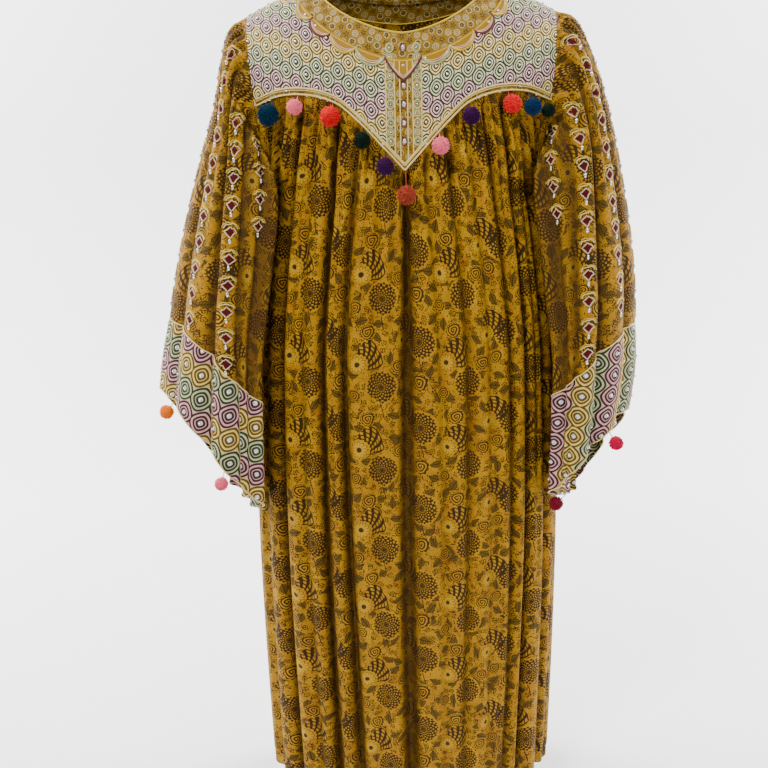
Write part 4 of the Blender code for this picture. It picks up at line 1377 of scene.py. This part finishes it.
@dataclass
class GatheredPanel:
    """The long front or back, gathered onto its yoke."""

    name: str
    face: Face
    folds: list
    creases: list
    seed: int
    columns: int
    rows: int
    flat: tuple[float, float]
    gathers: tuple[int, float, float] = (62, 0.42, 0.0078)
    deeper: Place = (0.010, 0.75)
    darkest_depth: float = 0.020
    close_rows: float = 0.14
    straight_to: float = -0.42

    def straightened(self, form: BodyForm, across: np.ndarray, down: np.ndarray) -> np.ndarray:
        """Places across that make each column one even curve from its seam to the hip."""
        points = form.point(across, down)
        x, z = points[..., 0], points[..., 2]
        near = 0.03
        curved = x.copy()
        for k in range(x.shape[1]):
            middle, under, over = np.interp(np.array([0, near, -near]) - self.straight_to, -z[:, k], x[:, k])
            slope = (over - under) / (2 * near)
            reach = z[0, k] - self.straight_to
            bend = (x[0, k] - middle - slope * reach) / reach**2
            up = np.maximum(z[:, k] - self.straight_to, 0)
            curved[:, k] = np.where(up > 0, middle + slope * up + bend * up**2, x[:, k])
        from_side = np.minimum(across, 1 - across)
        placed = form.across_of(x + (curved - x) * ease(from_side / 0.12), down)
        return across + (placed - across) * ease(from_side / 0.05)

    def edge(self, x: np.ndarray) -> np.ndarray:
        """Height of the seam that it hangs from."""
        height = yoke_edge(x) if self.face is Face.FRONT else BACK_YOKE_Z + 0 * x
        return height - GATHER_GAP

    def sheet(self) -> Sheet:
        """The cloth with its folds, creases and gathers, and painted shade by the depth of its folds."""
        form = BodyForm(self.face)
        at_top, at_hem = fine_columns(self.folds, self.columns, False)

        def columns_at(down: np.ndarray) -> np.ndarray:
            return at_top + (at_hem - at_top) * np.clip((down - 0.5) / 1.5, 0, 1)

        def height(down: np.ndarray) -> np.ndarray:
            return form.point(columns_at(down), down)[..., 2]

        def target(down: np.ndarray) -> np.ndarray:
            return self.edge(form.point(columns_at(down), down)[..., 0])

        top = solve_down(height, target, 0.2, LOWEST_SOLVED, at_top)
        upper = self.rows // 3
        places = np.concatenate([np.linspace(0, self.close_rows, upper)[:-1],
                                 np.linspace(self.close_rows, 1, self.rows - upper)])
        q = np.broadcast_to(places[:, None], (len(places), len(at_top)))
        down = top * (1 - q) + 2.0 * q
        across = columns_at(down)
        placed = self.straightened(form, across, down)
        small = crease_dip(across, q, self.creases + deepened(self.folds, *self.deeper), False)
        fine = crease_dip(at_top + 0 * q, q, gather_creases(self.seed, *self.gathers), False)
        held = ease(np.minimum(across, 1 - across) / 0.012)
        dip = fold_dip(across, q, self.folds, 0.035, False) + (small + fine) * held
        points = form.point(placed, down) - form.normal(placed, down) * dip[..., None]
        flat = developed(points, int(np.argmin(np.abs(places - 0.45))))
        # Painted shade: each point is darkened by the depth of its fold, fully at the darkest depth
        cloth = Sheet(points, flat, hollow=dip / self.darkest_depth)
        return (cloth.flipped() if self.face is Face.BACK else cloth).hemmed()

    def build(self, finishes: Finishes) -> None:
        """Makes the panel."""
        lay(self.sheet(), self.name, "printed_cloth", finishes.print,
            flat=self.flat, held="gathered", rests_on=["yoke_trim"])


@dataclass
class Sleeve:
    """A wide gathered sleeve and its embroidered cuff."""

    word: str
    side: int
    columns: int = 230
    rows: int = 130
    cuff_columns: int = 400
    cuff_rows: int = 96
    relief: float = 0.0011
    laps: tuple[Place, ...] = (
        (0.0, 0.0), (0.10, 0.020), (0.20, 0.042), (0.30, 0.048), (0.45, 0.042), (0.65, 0.027), (1.0, 0.020),
    )
    lap_turn: float = 0.665
    lap_width: float = 0.07
    gathers: tuple[int, float, float] = (46, 0.42, 0.0050)
    deeper: Place = (0.013, 0.6)
    darkest_depth: float = 0.013
    flat: tuple[float, float] = (0.60, 0.46)
    cuff_flat: tuple[float, float] = (0.62, 0.13)
    cuff_rise: float = 25.0

    def points(self, down: np.ndarray, columns: int) -> tuple[np.ndarray, np.ndarray, np.ndarray]:
        """Points of the sleeve at places down, with their turns and the depths of its folds, to which a
        painted shadow by the lap is added for the painted shade.
        """
        form = SleeveForm(self.side)
        at_top, at_hem = fine_columns(SLEEVE_FOLDS, columns, True)
        place = np.broadcast_to(down[:, None], (len(down), columns))
        turn = at_top + (at_hem - at_top) * place
        normal = outward(form.point, turn, np.clip(place, 2e-4, 1 - 2e-4))
        wrapped = SLEEVE_FOLDS[0][0] + (turn - SLEEVE_FOLDS[0][0]) % 1.0
        dip = fold_dip(wrapped, place, SLEEVE_FOLDS, SLEEVE_HELD, True)
        creases = SLEEVE_CREASES + deepened(SLEEVE_FOLDS, *self.deeper)
        dip = dip + crease_dip(turn, place, creases, True) * ease(place / 0.03)
        gathers = gather_creases(31 + self.side, *self.gathers)
        dip = dip + crease_dip(at_top + 0 * place, place, gathers, True) * ease(place / 0.02)
        points = form.point(turn, place) - normal * dip[..., None]
        from_lap = turn % 1.0 - self.lap_turn
        points[..., 0] -= np.exp(-((from_lap / self.lap_width) ** 2)) * curve_through(*zip(*self.laps), place)
        points[..., 0] *= self.side
        # Painted shadow: the inner front by the lap, where the body shades the sleeve, gets deeper painted
        # shade; the points don't move
        shade = np.exp(-((from_lap / 0.05) ** 2)) * ease((place - 0.05) / 0.2)
        return points, turn, dip + 0.007 * shade

    def grid(self, down: np.ndarray, columns: int) -> Sheet:
        """A part of the sleeve as a sheet."""
        points, _, dip = self.points(down, columns)
        flat = developed(points, len(down) // 2)
        # Painted shade: by the depth of the folds and the painted shadow by the lap, with a small offset that
        # darkens the sleeve a little more
        cloth = Sheet(points, flat, closed=True, hollow=0.12 + dip / self.darkest_depth)
        return cloth.flipped() if self.side < 0 else cloth

    def cuff_grid(self) -> Sheet:
        """The cuff as a sheet, whose rows of eyes step down from fold to fold with its slanting seam."""
        points, turn, _ = self.points(np.linspace(CUFF_TOP, 1.0, self.cuff_rows), self.cuff_columns)
        middle = self.cuff_rows // 2
        around = lengths(points[middle] * (1, 1, 0))
        folds = np.array(column(SLEEVE_FOLDS, 1))
        number = np.searchsorted(np.concatenate([folds, folds + 1]), turn[middle] - 1e-9)
        u, v = np.zeros(points.shape[:2]), np.zeros(points.shape[:2])
        for fold in np.unique(number):
            inside = number == fold
            centre = (around[inside][0] + around[inside][-1]) / 2
            u[:, inside] = centre - around[inside] - CUFF_EYES.width * MM * (0.25 + 4 * fold)
            v[:, inside] = points[0, inside, 2].mean() - points[:, inside, 2]
        if self.side > 0:
            u, v = np.broadcast_to(-around, v.shape), -points[..., 2]
        rise = math.radians(self.cuff_rise)
        u, v = u * math.cos(rise) + v * math.sin(rise), v * math.cos(rise) - u * math.sin(rise)
        cuff = Sheet(points, np.stack([u, v], -1) / MM, closed=True)
        return cuff.flipped() if self.side < 0 else cuff

    def build(self, finishes: Finishes) -> None:
        """Makes the sleeve and its cuff."""
        seam = CUFF_TOP - CUFF_GAP / SLEEVE_LENGTH
        upper = self.rows // 4
        down = np.concatenate([np.linspace(0, 0.12, upper)[:-1], np.linspace(0.12, seam, self.rows - upper)])
        cloth = self.grid(down, self.columns)
        lay(cloth, f"sleeve_{self.word}", "printed_cloth", finishes.print,
            flat=self.flat, held="gathered", rests_on=["body_front"])
        SleeveMotifs(self.side, cloth).build(f"sleeve_{self.word}_motifs", finishes)
        self.build_cuff(finishes)

    def build_cuff(self, finishes: Finishes) -> None:
        """Makes the cuff with its raised cords and beads."""
        cuff = self.cuff_grid()
        rows = np.arange(self.cuff_rows)
        edge = ease(np.minimum(rows, rows[::-1]) / 5)[:, None]
        height = CUFF_EYES.relief(cuff.flat) * self.relief * edge
        raised = cuff.raised(height)
        lay(raised.hemmed(), f"cuff_{self.word}", "cord_embroidery", finishes.cuff,
            flat=self.cuff_flat, held="gathered", rests_on=[f"sleeve_{self.word}"])
        spots = raised.nearest(CUFF_EYES.centres(cuff.flat))
        sew(f"cuff_{self.word}_beads", beads(*spots, 0.0023), "cord_embroidery", finishes.silver)
        parts, normals = [], cuff.normals()
        for row in (0, -1):
            path = cuff.points[row, :-1] + normals[row, :-1] * 0.0006
            parts.append((*tube(path, CORD, 5, CORD_TWIST, 2, closed=True, normals=normals[row, :-1]), 0))
        sew(f"cuff_{self.word}_cords", parts, "cord_embroidery", finishes.cream)


@dataclass
class SleeveMotifs:
    """Columns of small sewn motifs down a sleeve: a diamond, an arc above it and a drop below."""

    side: int
    sheet: Sheet
    columns: tuple[Place, ...] = (
        (0.705, 0.17), (0.772, 1.0), (0.880, 1.0), (0.985, 1.0), (1.090, 1.0), (1.195, 1.0),
    )
    pitch: float = 0.037
    diamond: float = 0.0054
    border: float = 0.0076
    raise_by: float = 0.0009
    arcs: tuple[Place, ...] = ((0.0112, 2), (0.0090, 3))

    def spot(self, row: float, across: float, offsets: np.ndarray, out: float) -> tuple:
        """Points over the sheet at offsets (to the side, up) in metres from one place on it."""
        flat, points = self.sheet.flat * MM, self.sheet.points
        i, j = int(row), int(across)
        low, high = max(j - 8, 0), min(j + 8, points.shape[1] - 1)
        real = np.linalg.norm(points[i, high] - points[i, low])
        slant = flat[i, high] - flat[i, low]
        scale = float(np.clip(np.linalg.norm(slant) / max(real, 1e-6), 0.8, 1.6))
        along = np.arange(points.shape[1])
        rising = 1 if flat[i, 0, 0] < flat[i, -1, 0] else -1
        wanted = np.interp(across, along, flat[i, :, 0]) + rising * offsets[:, 0] * scale
        columns = np.interp(wanted, flat[i, ::rising, 0], along[::rising])
        centre_v = np.interp(across, along, flat[i, :, 1]) + (row - i) * (flat[i + 1, j, 1] - flat[i, j, 1])
        rows = [np.interp(centre_v - lift, flat[:, int(c), 1], np.arange(len(flat)))
                for lift, c in zip(offsets[:, 1], columns)]
        found, normals = self.sheet.sample(np.array(rows), columns)
        return found + normals * out, normals

    def motif(self, row: float, across: float) -> list[tuple]:
        """The parts of one motif."""
        corners = np.array([(0, 1), (1, 0), (0, -1), (-1, 0)], float)
        rim, _ = self.spot(row, across, corners * self.diamond, self.raise_by * 0.6)
        top, _ = self.spot(row, across, np.zeros((1, 2)), self.raise_by * 1.8)
        parts = [(np.concatenate([rim, top]), [(k, 4, (k + 1) % 4) for k in range(4)], 0)]
        share = np.linspace(0, 1, 5)[:-1, None]
        outline = np.concatenate([corners[k] * (1 - share) + corners[(k + 1) % 4] * share for k in range(4)])
        path, normals = self.spot(row, across, outline * self.border, self.raise_by)
        parts.append((*tube(path, CORD, 5, closed=True, normals=normals), 1))
        angle = np.linspace(math.radians(12), math.radians(168), 13)
        for reach, number in self.arcs:
            arc = np.stack([np.cos(angle) * reach, 0.0035 + np.sin(angle) * reach * 0.85], -1)
            path, normals = self.spot(row, across, arc, self.raise_by)
            parts.append((*tube(path, CORD, 5, normals=normals), number))
        spot, normals = self.spot(row, across, np.array([(0.0, -0.0125)]), self.raise_by)
        shape, faces = ball(1)
        parts.append((spot[0] + shape * (0.0022, 0.0014, 0.0044), faces, 4))
        return parts

    def build(self, name: str, finishes: Finishes) -> None:
        """Sews every motif on."""
        count = self.sheet.points.shape[1]
        start = SLEEVE_FOLDS[len(SLEEVE_FOLDS) // 2][0]
        down = lengths(self.sheet.points)
        parts = []
        for number, (turn, longest) in enumerate(self.columns):
            share = (turn - start) % 1.0
            across = (share if self.side > 0 else 1 - share) * (count - 1)
            below = down[:, int(across)]
            last = min(below[-1] - 0.014, longest)
            for place in np.arange(0.030 + 0.5 * self.pitch * (number % 2), last, self.pitch):
                parts += self.motif(float(np.interp(place, below, np.arange(len(below)))), across)
        sew(name, parts, "printed_cloth", finishes.red_patch, finishes.white, finishes.lime,
            finishes.cream, finishes.silver)


@dataclass
class NeckScallops:
    """Arcs of cord along the neck band's outer edge, each over a gold patch, with a point in front."""

    step: float = 0.172
    point_half: float = 0.110
    bulge: float = 0.0115
    point_drop: float = 0.019
    lift: float = 0.0019

    def path(self, places: np.ndarray, out: np.ndarray, lift: float) -> np.ndarray:
        """Points on the front at places round the neck (-1 to 1) and distances out from its edge."""
        x = np.sin(places * math.pi / 2) * (NECK_HALF + out)
        height = np.array([float(neck_edge(np.array(a), float(b), NECK_FRONT_DROP)) for a, b in zip(x, out)])
        return BodyForm(Face.FRONT).on(x, height, lift)

    def arc(self, low: float, high: float, bulge: float, number: int, pointed: bool) -> list[tuple]:
        """One arc with its patch and its inner line."""
        count = 25
        t = np.linspace(0, 1, count)
        places = low + (high - low) * t
        shape = 1 - np.abs(2 * t - 1) ** 1.15 if pointed else np.sin(np.pi * t) ** 0.6
        parts = []
        for inset, radius, kind in ((0.0, 0.0013, number), (0.0024, 0.0007, 3), (0.0042, 0.0006, 4)):
            out = NECK_BAND - 0.001 + np.maximum(bulge * shape - inset * shape, 0.0)
            parts.append((*tube(self.path(places, out, self.lift), radius, 6, CORD_TWIST, 2), kind))
        rows = [self.path(places, NECK_BAND - 0.002 + bulge * shape * k / 4, self.lift - 0.0007)
                for k in range(5)]
        corners = [r * count + k for r in range(4) for k in range(count - 1)]
        faces = [(a, a + count, a + count + 1, a + 1) for a in corners]
        return [*parts, (np.concatenate(rows), faces, 0)]

    def build(self, finishes: Finishes) -> None:
        """Makes the point in front and the arcs on both sides of it."""
        parts = self.arc(-self.point_half, self.point_half, self.point_drop, 1, True)
        colours = (5, 2, 1, 2, 5)
        for k, number in enumerate(colours):
            low = self.point_half + k * self.step
            high = min(low + self.step, 0.985)
            parts += self.arc(low, high, self.bulge, number, False)
            parts += self.arc(-high, -low, self.bulge, number, False)
        sew("neck_scallops", parts, "gold_cloth", finishes.patch, finishes.plum, finishes.lime,
            finishes.cream, finishes.rose_cord, finishes.sage)


@dataclass
class YokePanel:
    """A flat panel of the yoke between two sides and two edges."""

    name: str
    face: Face
    left: Callable
    right: Callable
    top: Callable
    bottom: Callable
    size: tuple[int, int]

    def sheet(self) -> Sheet:
        """The plain panel, with its flat map measured from the wearer's middle."""
        form = BodyForm(self.face)
        columns, rows = self.size
        share = np.linspace(0, 1, columns)

        def across(down: np.ndarray) -> np.ndarray:
            return self.left(down) * (1 - share) + self.right(down) * share

        def points_at(down: np.ndarray) -> np.ndarray:
            return form.point(across(down), down)

        def edge_place(edge: Callable) -> np.ndarray:
            return solve_down(
                lambda d: points_at(d)[..., 2], lambda d: edge(points_at(d)[..., 0]), 0.0, 1.2, share
            )

        top, bottom = edge_place(self.top), edge_place(self.bottom)
        steps = np.linspace(0, 1, rows)[:, None]
        down = np.maximum(top * (1 - steps) + bottom * steps, SHOULDER_SEAM)
        points = form.point(across(down), down)
        reach = np.linspace(0, SHOULDER_HALF, 120)
        arc = lengths(form.on(reach, np.full_like(reach, -0.11)))
        x = points[..., 0]
        u = np.sign(x) * np.interp(np.abs(x), reach, arc)
        up = lengths(points)
        v = up - up[-1] - points[-1, :, 2]
        panel = Sheet(points, np.stack([u, v], -1) / MM)
        return panel.flipped() if self.face is Face.BACK else panel


@dataclass
class Yoke:
    """The yoke's panels, the trim along its lower edge and the band round the neck."""

    relief: float = 0.0010
    cords_at: tuple[float, ...] = (-0.0235, -0.0120, -0.0050, 0.0050, 0.0120, 0.0235)
    rings_at: Place = (-0.01775, 0.01775)
    ring_heights: tuple[float, float, float] = (-0.043, -0.176, -0.0118)

    def neck(self, drop: float = NECK_FRONT_DROP) -> Callable:
        """Upper edge of the panels, where the neckline has this drop."""
        return lambda x: neck_edge(x, NECK_BAND, drop) - GATHER_GAP

    def at(self, x: float) -> Callable:
        """The place across the front where it has this x."""
        return lambda down: BodyForm(Face.FRONT).across_of(x, down)

    def build(self, finishes: Finishes) -> None:
        """Makes every piece of the yoke."""
        gap = CENTRE_BAND_HALF + SEAM_GAP
        front, ends = Face.FRONT, (lambda down: 0.0 * down, lambda down: 1.0 + 0.0 * down)
        sides = (
            YokePanel("yoke_right", front, ends[0], self.at(-gap), self.neck(), yoke_edge, (236, 176)),
            YokePanel("yoke_left", front, self.at(gap), ends[1], self.neck(), yoke_edge, (236, 176)),
        )
        for panel in sides:
            plain = panel.sheet()
            raised = plain.raised(YOKE_EYES.relief(plain.flat) * self.relief)
            lay(raised, panel.name, "cord_embroidery", finishes.yoke,
                flat=(0.19, 0.22), held="stretched", rests_on=["yoke_trim"], area=0.028)
            spots = raised.nearest(YOKE_EYES.centres(plain.flat))
            sew(panel.name + "_beads", beads(*spots, 0.0021), "cord_embroidery", finishes.silver)
        self.build_centre(finishes)
        back = YokePanel("yoke_back", Face.BACK, *ends, self.neck(NECK_BACK_DROP),
                         lambda x: BACK_YOKE_Z + 0 * x, (170, 60)).sheet()
        lay(back, "yoke_back", "printed_cloth", finishes.print,
            flat=(0.44, 0.19), held="stretched", rests_on=["body_back"], area=0.061)
        self.build_trim(finishes)
        NeckScallops().build(finishes)
        self.build_neck("neck_band_front", Face.FRONT, NECK_FRONT_DROP, finishes)
        self.build_neck("neck_band_back", Face.BACK, NECK_BACK_DROP, finishes)

    def build_centre(self, finishes: Finishes) -> None:
        """Makes the band down the middle of the yoke, with cords and mirrors."""
        half = CENTRE_BAND_HALF
        panel = YokePanel("yoke_centre", Face.FRONT, self.at(-half), self.at(half),
                          self.neck(), yoke_edge, (50, 110)).sheet()
        lay(panel, "yoke_centre", "gold_cloth", finishes.gold,
            flat=(0.049, 0.115), held="stretched", rests_on=["yoke_trim"])
        form = BodyForm(Face.FRONT)
        parts = []
        for x in self.cords_at:
            bottom = float(yoke_edge(np.array(x))) + TRIM_WIDTH
            heights = np.linspace(float(self.neck()(np.array(x))), bottom, 110)
            path = form.on(np.full_like(heights, x), heights, 0.0006)
            parts.append((*tube(path, CORD, 6, 300.0, 2), 0))
        angle = np.linspace(0, math.tau, 19)[:-1]
        shape, faces = ball(2)
        for number, height in enumerate(np.arange(*self.ring_heights)):
            for x in self.rings_at:
                if height < yoke_edge(np.array(x)) + TRIM_WIDTH + 0.006:
                    continue
                for reach, kind in ((0.0048, number % 2 * 2), (0.0029, 2 - number % 2 * 2)):
                    path = form.on(x + np.cos(angle) * reach, height + np.sin(angle) * reach * 1.1, 0.0007)
                    parts.append((*tube(path, CORD, 5, closed=True), kind))
                spot = form.on(np.array([x]), np.array([height]), 0.0008)[0]
                parts.append((spot + shape * (0.0013, 0.0009, 0.0013), faces, 1))
            if number % 2 == 0:
                spot = form.on(np.array([0.0]), np.array([height]))[0]
                parts.append((spot + shape * (0.0028, 0.0012, 0.0034), faces, 1))
                path = form.on(np.cos(angle) * 0.0040, height + np.sin(angle) * 0.0056, 0.0006)
                parts.append((*tube(path, 0.0007, 5, closed=True), 3))
        sew("yoke_centre_cords", parts, "gold_cloth", finishes.cream, finishes.silver,
            finishes.sage, finishes.plum)

    def build_trim(self, finishes: Finishes) -> None:
        """Makes the trim: a gold strip between two twisted cords."""
        form = BodyForm(Face.FRONT)
        x = np.linspace(-0.1995, 0.1995, 420)
        rows = []
        for share in np.linspace(0, 1, 5):
            height = yoke_edge(x) + TRIM_WIDTH * (1 - share)
            rows.append(form.on(x, height, SEAM_GAP + TRIM_WALL * 0.7))
        points = np.array(rows)
        u = lengths(points[2])
        flat = np.stack([np.broadcast_to(u, points.shape[:2]), lengths(points)], -1) / MM
        lay(Sheet(points, flat), "yoke_trim", "trim_cord", finishes.gold,
            flat=(0.56, 0.010), held="stretched", rests_on=["yoke_left_cloth"])
        parts = []
        for share, radius in ((0.08, 0.0011), (0.36, 0.0006), (0.92, 0.0011)):
            path = form.on(x, yoke_edge(x) + TRIM_WIDTH * (1 - share), TRIM_WALL + 0.0006)
            parts.append((*tube(path, radius, 7, 220.0, 2), 0))
        sew("yoke_trim_cords", parts, "trim_cord", finishes.cream)

    def build_neck(self, name: str, face: Face, drop: float, finishes: Finishes) -> None:
        """Makes half of the band round the neck."""
        form = BodyForm(face)
        swing = np.sin(np.linspace(-1, 1, 300) * math.pi / 2)
        grid = []
        for out in np.linspace(0.0, NECK_BAND, 14):
            x = swing * (NECK_HALF + out)
            down = form.down_at(x, neck_edge(x, out, drop))
            points = form.point(form.across_of(x, down), down)
            points[..., 1] += face.value * SEAM_GAP * (np.abs(swing) > 0.9995)
            grid.append(points)
        points = np.array(grid)
        u = lengths(points[7])
        flat = np.stack([np.broadcast_to(u, points.shape[:2]), lengths(points)], -1) / MM
        band = Sheet(points, flat)
        if face is Face.BACK:
            band = band.flipped()
        lay(band.hemmed(at_top=True), name, "gold_cloth", finishes.gold, held="stretched",
            flat=(0.42 if face is Face.FRONT else 0.36, 0.034), rests_on=["yoke_back"], area=0.0100)
        parts, normals = [], band.normals()
        for row, radius in ((0, 0.0012), (13, 0.0011)):
            parts.append((*tube(band.points[row] + normals[row] * 0.0005, radius, 6, CORD_TWIST, 2), 0))
        sew(name + "_cords", parts, "gold_cloth", finishes.lime)


@dataclass
class Pompoms:
    """Fluffy wool balls on threads."""

    tufts: int = 420
    core: float = 0.86
    seed: int = 7

    def ball_parts(self, centre: np.ndarray, radius: float, chance: np.random.Generator) -> list[tuple]:
        """A core with many short locks of yarn."""
        shape, faces = ball(3)
        bumps = 1 + 0.05 * (chance.random(len(shape)) - 0.5)
        parts = [(centre + shape * (radius * self.core * bumps)[:, None], faces, 0)]
        k = np.arange(self.tufts)
        height = 1 - 2 * (k + 0.5) / self.tufts
        around = k * math.pi * (3 - math.sqrt(5))
        level = np.sqrt(1 - height**2)
        ways = np.stack([level * np.cos(around), level * np.sin(around), height], -1)
        ways = unit(ways + 0.22 * (chance.random(ways.shape) - 0.5))
        reach = radius * (1.04 + 0.24 * chance.random(self.tufts))
        for way, far in zip(ways, reach):
            side = unit(np.cross(way, (0.3, 0.5, 0.81)))
            other = np.cross(way, side)
            lean = sum((chance.random() - 0.5) * 0.25 * radius * axis for axis in (side, other))
            rows = []
            for share, width in ((0.55, 0.085), (0.86, 0.080)):
                middle = centre + way * far * share + lean * max(0.0, share - 0.55)
                rows += [middle + radius * width * (side * math.cos(a) + other * math.sin(a))
                         for a in (0.0, math.tau / 3, 2 * math.tau / 3)]
            rows.append(centre + way * far + lean)
            sides = [(0, 3, 4, 1), (1, 4, 5, 2), (2, 5, 3, 0), (3, 6, 4), (4, 6, 5), (5, 6, 3)]
            parts.append((np.array(rows), [tuple(f[::-1]) for f in sides], 0))
        return parts

    def add(self, name: str, edge: np.ndarray, centre: np.ndarray, radius: float, colour: str,
            finishes: Finishes, chance: np.random.Generator) -> None:
        """Makes one pompom with its thread from the edge."""
        way = centre - edge
        path = edge + way * np.linspace(0, 1, 8)[:, None]
        parts = self.ball_parts(centre, radius, chance)
        parts.append((*tube(path, THREAD_RADIUS, 6, 400.0, 2), 0))
        sew(name + "_wool", parts, "wool_" + colour, finishes.wool[colour], nodes=[name])

    def build(self, finishes: Finishes) -> None:
        """Makes all of them where their solids are."""
        chance = np.random.default_rng(self.seed)
        form = BodyForm(Face.FRONT)
        for name, x, radius, drop, colour in YOKE_POMPOMS:
            height = float(yoke_edge(np.array(x))) - THREAD_RADIUS * 2
            down = form.down_at(np.array([x]), np.array([height]))
            across = form.across_of(np.array([x]), down)
            normal = unit(form.normal(across, down)[0] * (1, 1, 0))
            edge = form.point(across, down)[0] + normal * (SEAM_GAP + TRIM_WALL / 2)
            reach = normal * (radius * (1 + LOCK_SHARE) - TRIM_WALL / 2 + POMPOM_CLEAR)
            self.add(name, edge, edge + reach - (0, 0, drop), radius, colour, finishes, chance)
        for name, side, turn, radius, thread, colour in CUFF_POMPOMS:
            sleeve = SleeveForm(side)
            place = np.array([turn])
            normal = outward(sleeve.point, place, np.array([0.9998]))[0]
            dip = fold_dip(place, np.array([1.0]), SLEEVE_FOLDS, SLEEVE_HELD, True)[0]
            edge = sleeve.point(place, 1.0)[0] - normal * (dip + 0.00075) - (0, 0, THREAD_RADIUS)
            reach = normal * (1, 1, 0) * (radius * (1 + LOCK_SHARE) + POMPOM_CLEAR)
            centre = edge + reach - (0, 0, radius + thread)
            mirror = np.array([side, 1, 1])
            self.add(name, edge * mirror, centre * mirror, radius, colour, finishes, chance)


@dataclass
class Studio:
    """Pale floor and backdrop, soft lights and the camera."""

    floor_z: float = -1.30
    focal: float = 1041 / 768 * 36
    pitch: float = math.radians(19.2)
    roll: float = math.radians(1.2)
    eye: tuple[float, float, float] = (-0.034, -1.54, -0.01)

    def build(self) -> None:
        """Sets up everything round the dress."""
        self.build_room()
        self.build_lights()
        self.build_camera()

    def build_room(self) -> None:
        """A floor that curves up into a backdrop."""
        bend = [(1.2 + 0.9 * math.sin(a), 0.9 - 0.9 * math.cos(a)) for a in np.linspace(0.1, math.pi / 2, 12)]
        profile = [(-6.0, 0.0), (1.2, 0.0), *bend, (2.1, 5.0)]
        points = [(x, y, self.floor_z + z) for y, z in profile for x in (-6.0, 6.0)]
        faces = [(2 * k, 2 * k + 1, 2 * k + 3, 2 * k + 2) for k in range(len(profile) - 1)]
        mesh = bpy.data.meshes.new("floor")
        mesh.from_pydata(points, [], faces)
        mesh.polygons.foreach_set("use_smooth", np.ones(len(faces), bool))
        floor = link("floor", mesh)
        made, graph, shader = Finish("pale_floor", 0.9).start()
        shade = graph.group("drift", Vector=graph.place(), Scale=3.0, Amount=0.01)
        colour = graph.mix(1.0, (0.86, 0.86, 0.86), shade["Shade"], "MULTIPLY")
        graph.join(colour, shader.inputs["Base Color"])
        floor.data.materials.append(made)

    def build_lights(self) -> None:
        """Large soft lights in front and above, and a pale world."""
        lights = (
            # place, aim, size, watts
            ((-0.9, -1.7, 1.7), (0.0, 0.0, -0.5), 0.7, 92.0),
            ((1.5, -1.9, 0.4), (0.0, 0.0, -0.5), 1.2, 16.0),
            ((0.0, -0.3, 2.1), (0.0, -0.1, -0.2), 1.0, 26.0),
            ((-2.6, 0.9, 1.2), (-0.6, 2.6, -1.3), 1.6, 290.0),
            ((2.6, 0.9, 1.2), (0.6, 2.6, -1.3), 1.6, 290.0),
        )
        for number, (place, target, size, watts) in enumerate(lights):
            data = bpy.data.lights.new(f"soft_{number}", "AREA")
            data.size, data.energy = size, watts
            lamp = link(f"soft_{number}", data)
            lamp.location = place
            aim = Vector(target) - Vector(place)
            lamp.rotation_euler = aim.to_track_quat("-Z", "Y").to_euler()
        world = bpy.data.worlds.new("studio")
        world.use_nodes = True
        world.node_tree.nodes["Background"].inputs["Color"].default_value = (1, 1, 1, 1)
        world.node_tree.nodes["Background"].inputs["Strength"].default_value = 0.30
        bpy.context.scene.world = world

    def build_camera(self) -> None:
        """The photograph's camera."""
        p, r = self.pitch, self.roll
        ahead = Vector((0, math.cos(p), -math.sin(p)))
        up = Vector((0, math.sin(p), math.cos(p)))
        right = Vector((1, 0, 0))
        top = up * math.cos(r) + right * math.sin(r)
        side = right * math.cos(r) - up * math.sin(r)
        data = bpy.data.cameras.new("camera")
        data.lens, data.sensor_width = self.focal, 36.0
        camera = link("camera", data)
        matrix = Matrix((side, top, -ahead)).transposed().to_4x4()
        matrix.translation = Vector(self.eye)
        camera.matrix_world = matrix
        bpy.context.scene.camera = camera


def main() -> None:
    """Builds the dress piece by piece, logging the faces and area of each."""
    logging.basicConfig(level=logging.INFO, format="%(message)s")
    finishes = Finishes()
    for panel in (
        GatheredPanel("body_front", Face.FRONT, FRONT_FOLDS, FRONT_CREASES, 5, 300, 210, (0.72, 1.10)),
        GatheredPanel("body_back", Face.BACK, BACK_FOLDS, BACK_CREASES, 9, 220, 150, (0.70, 1.11)),
    ):
        panel.build(finishes)
    Sleeve("left", 1, cuff_rise=82.0).build(finishes)
    Sleeve("right", -1).build(finishes)
    Yoke().build(finishes)
    Pompoms().build(finishes)
    Studio().build()


if __name__ == "__main__":
    main()
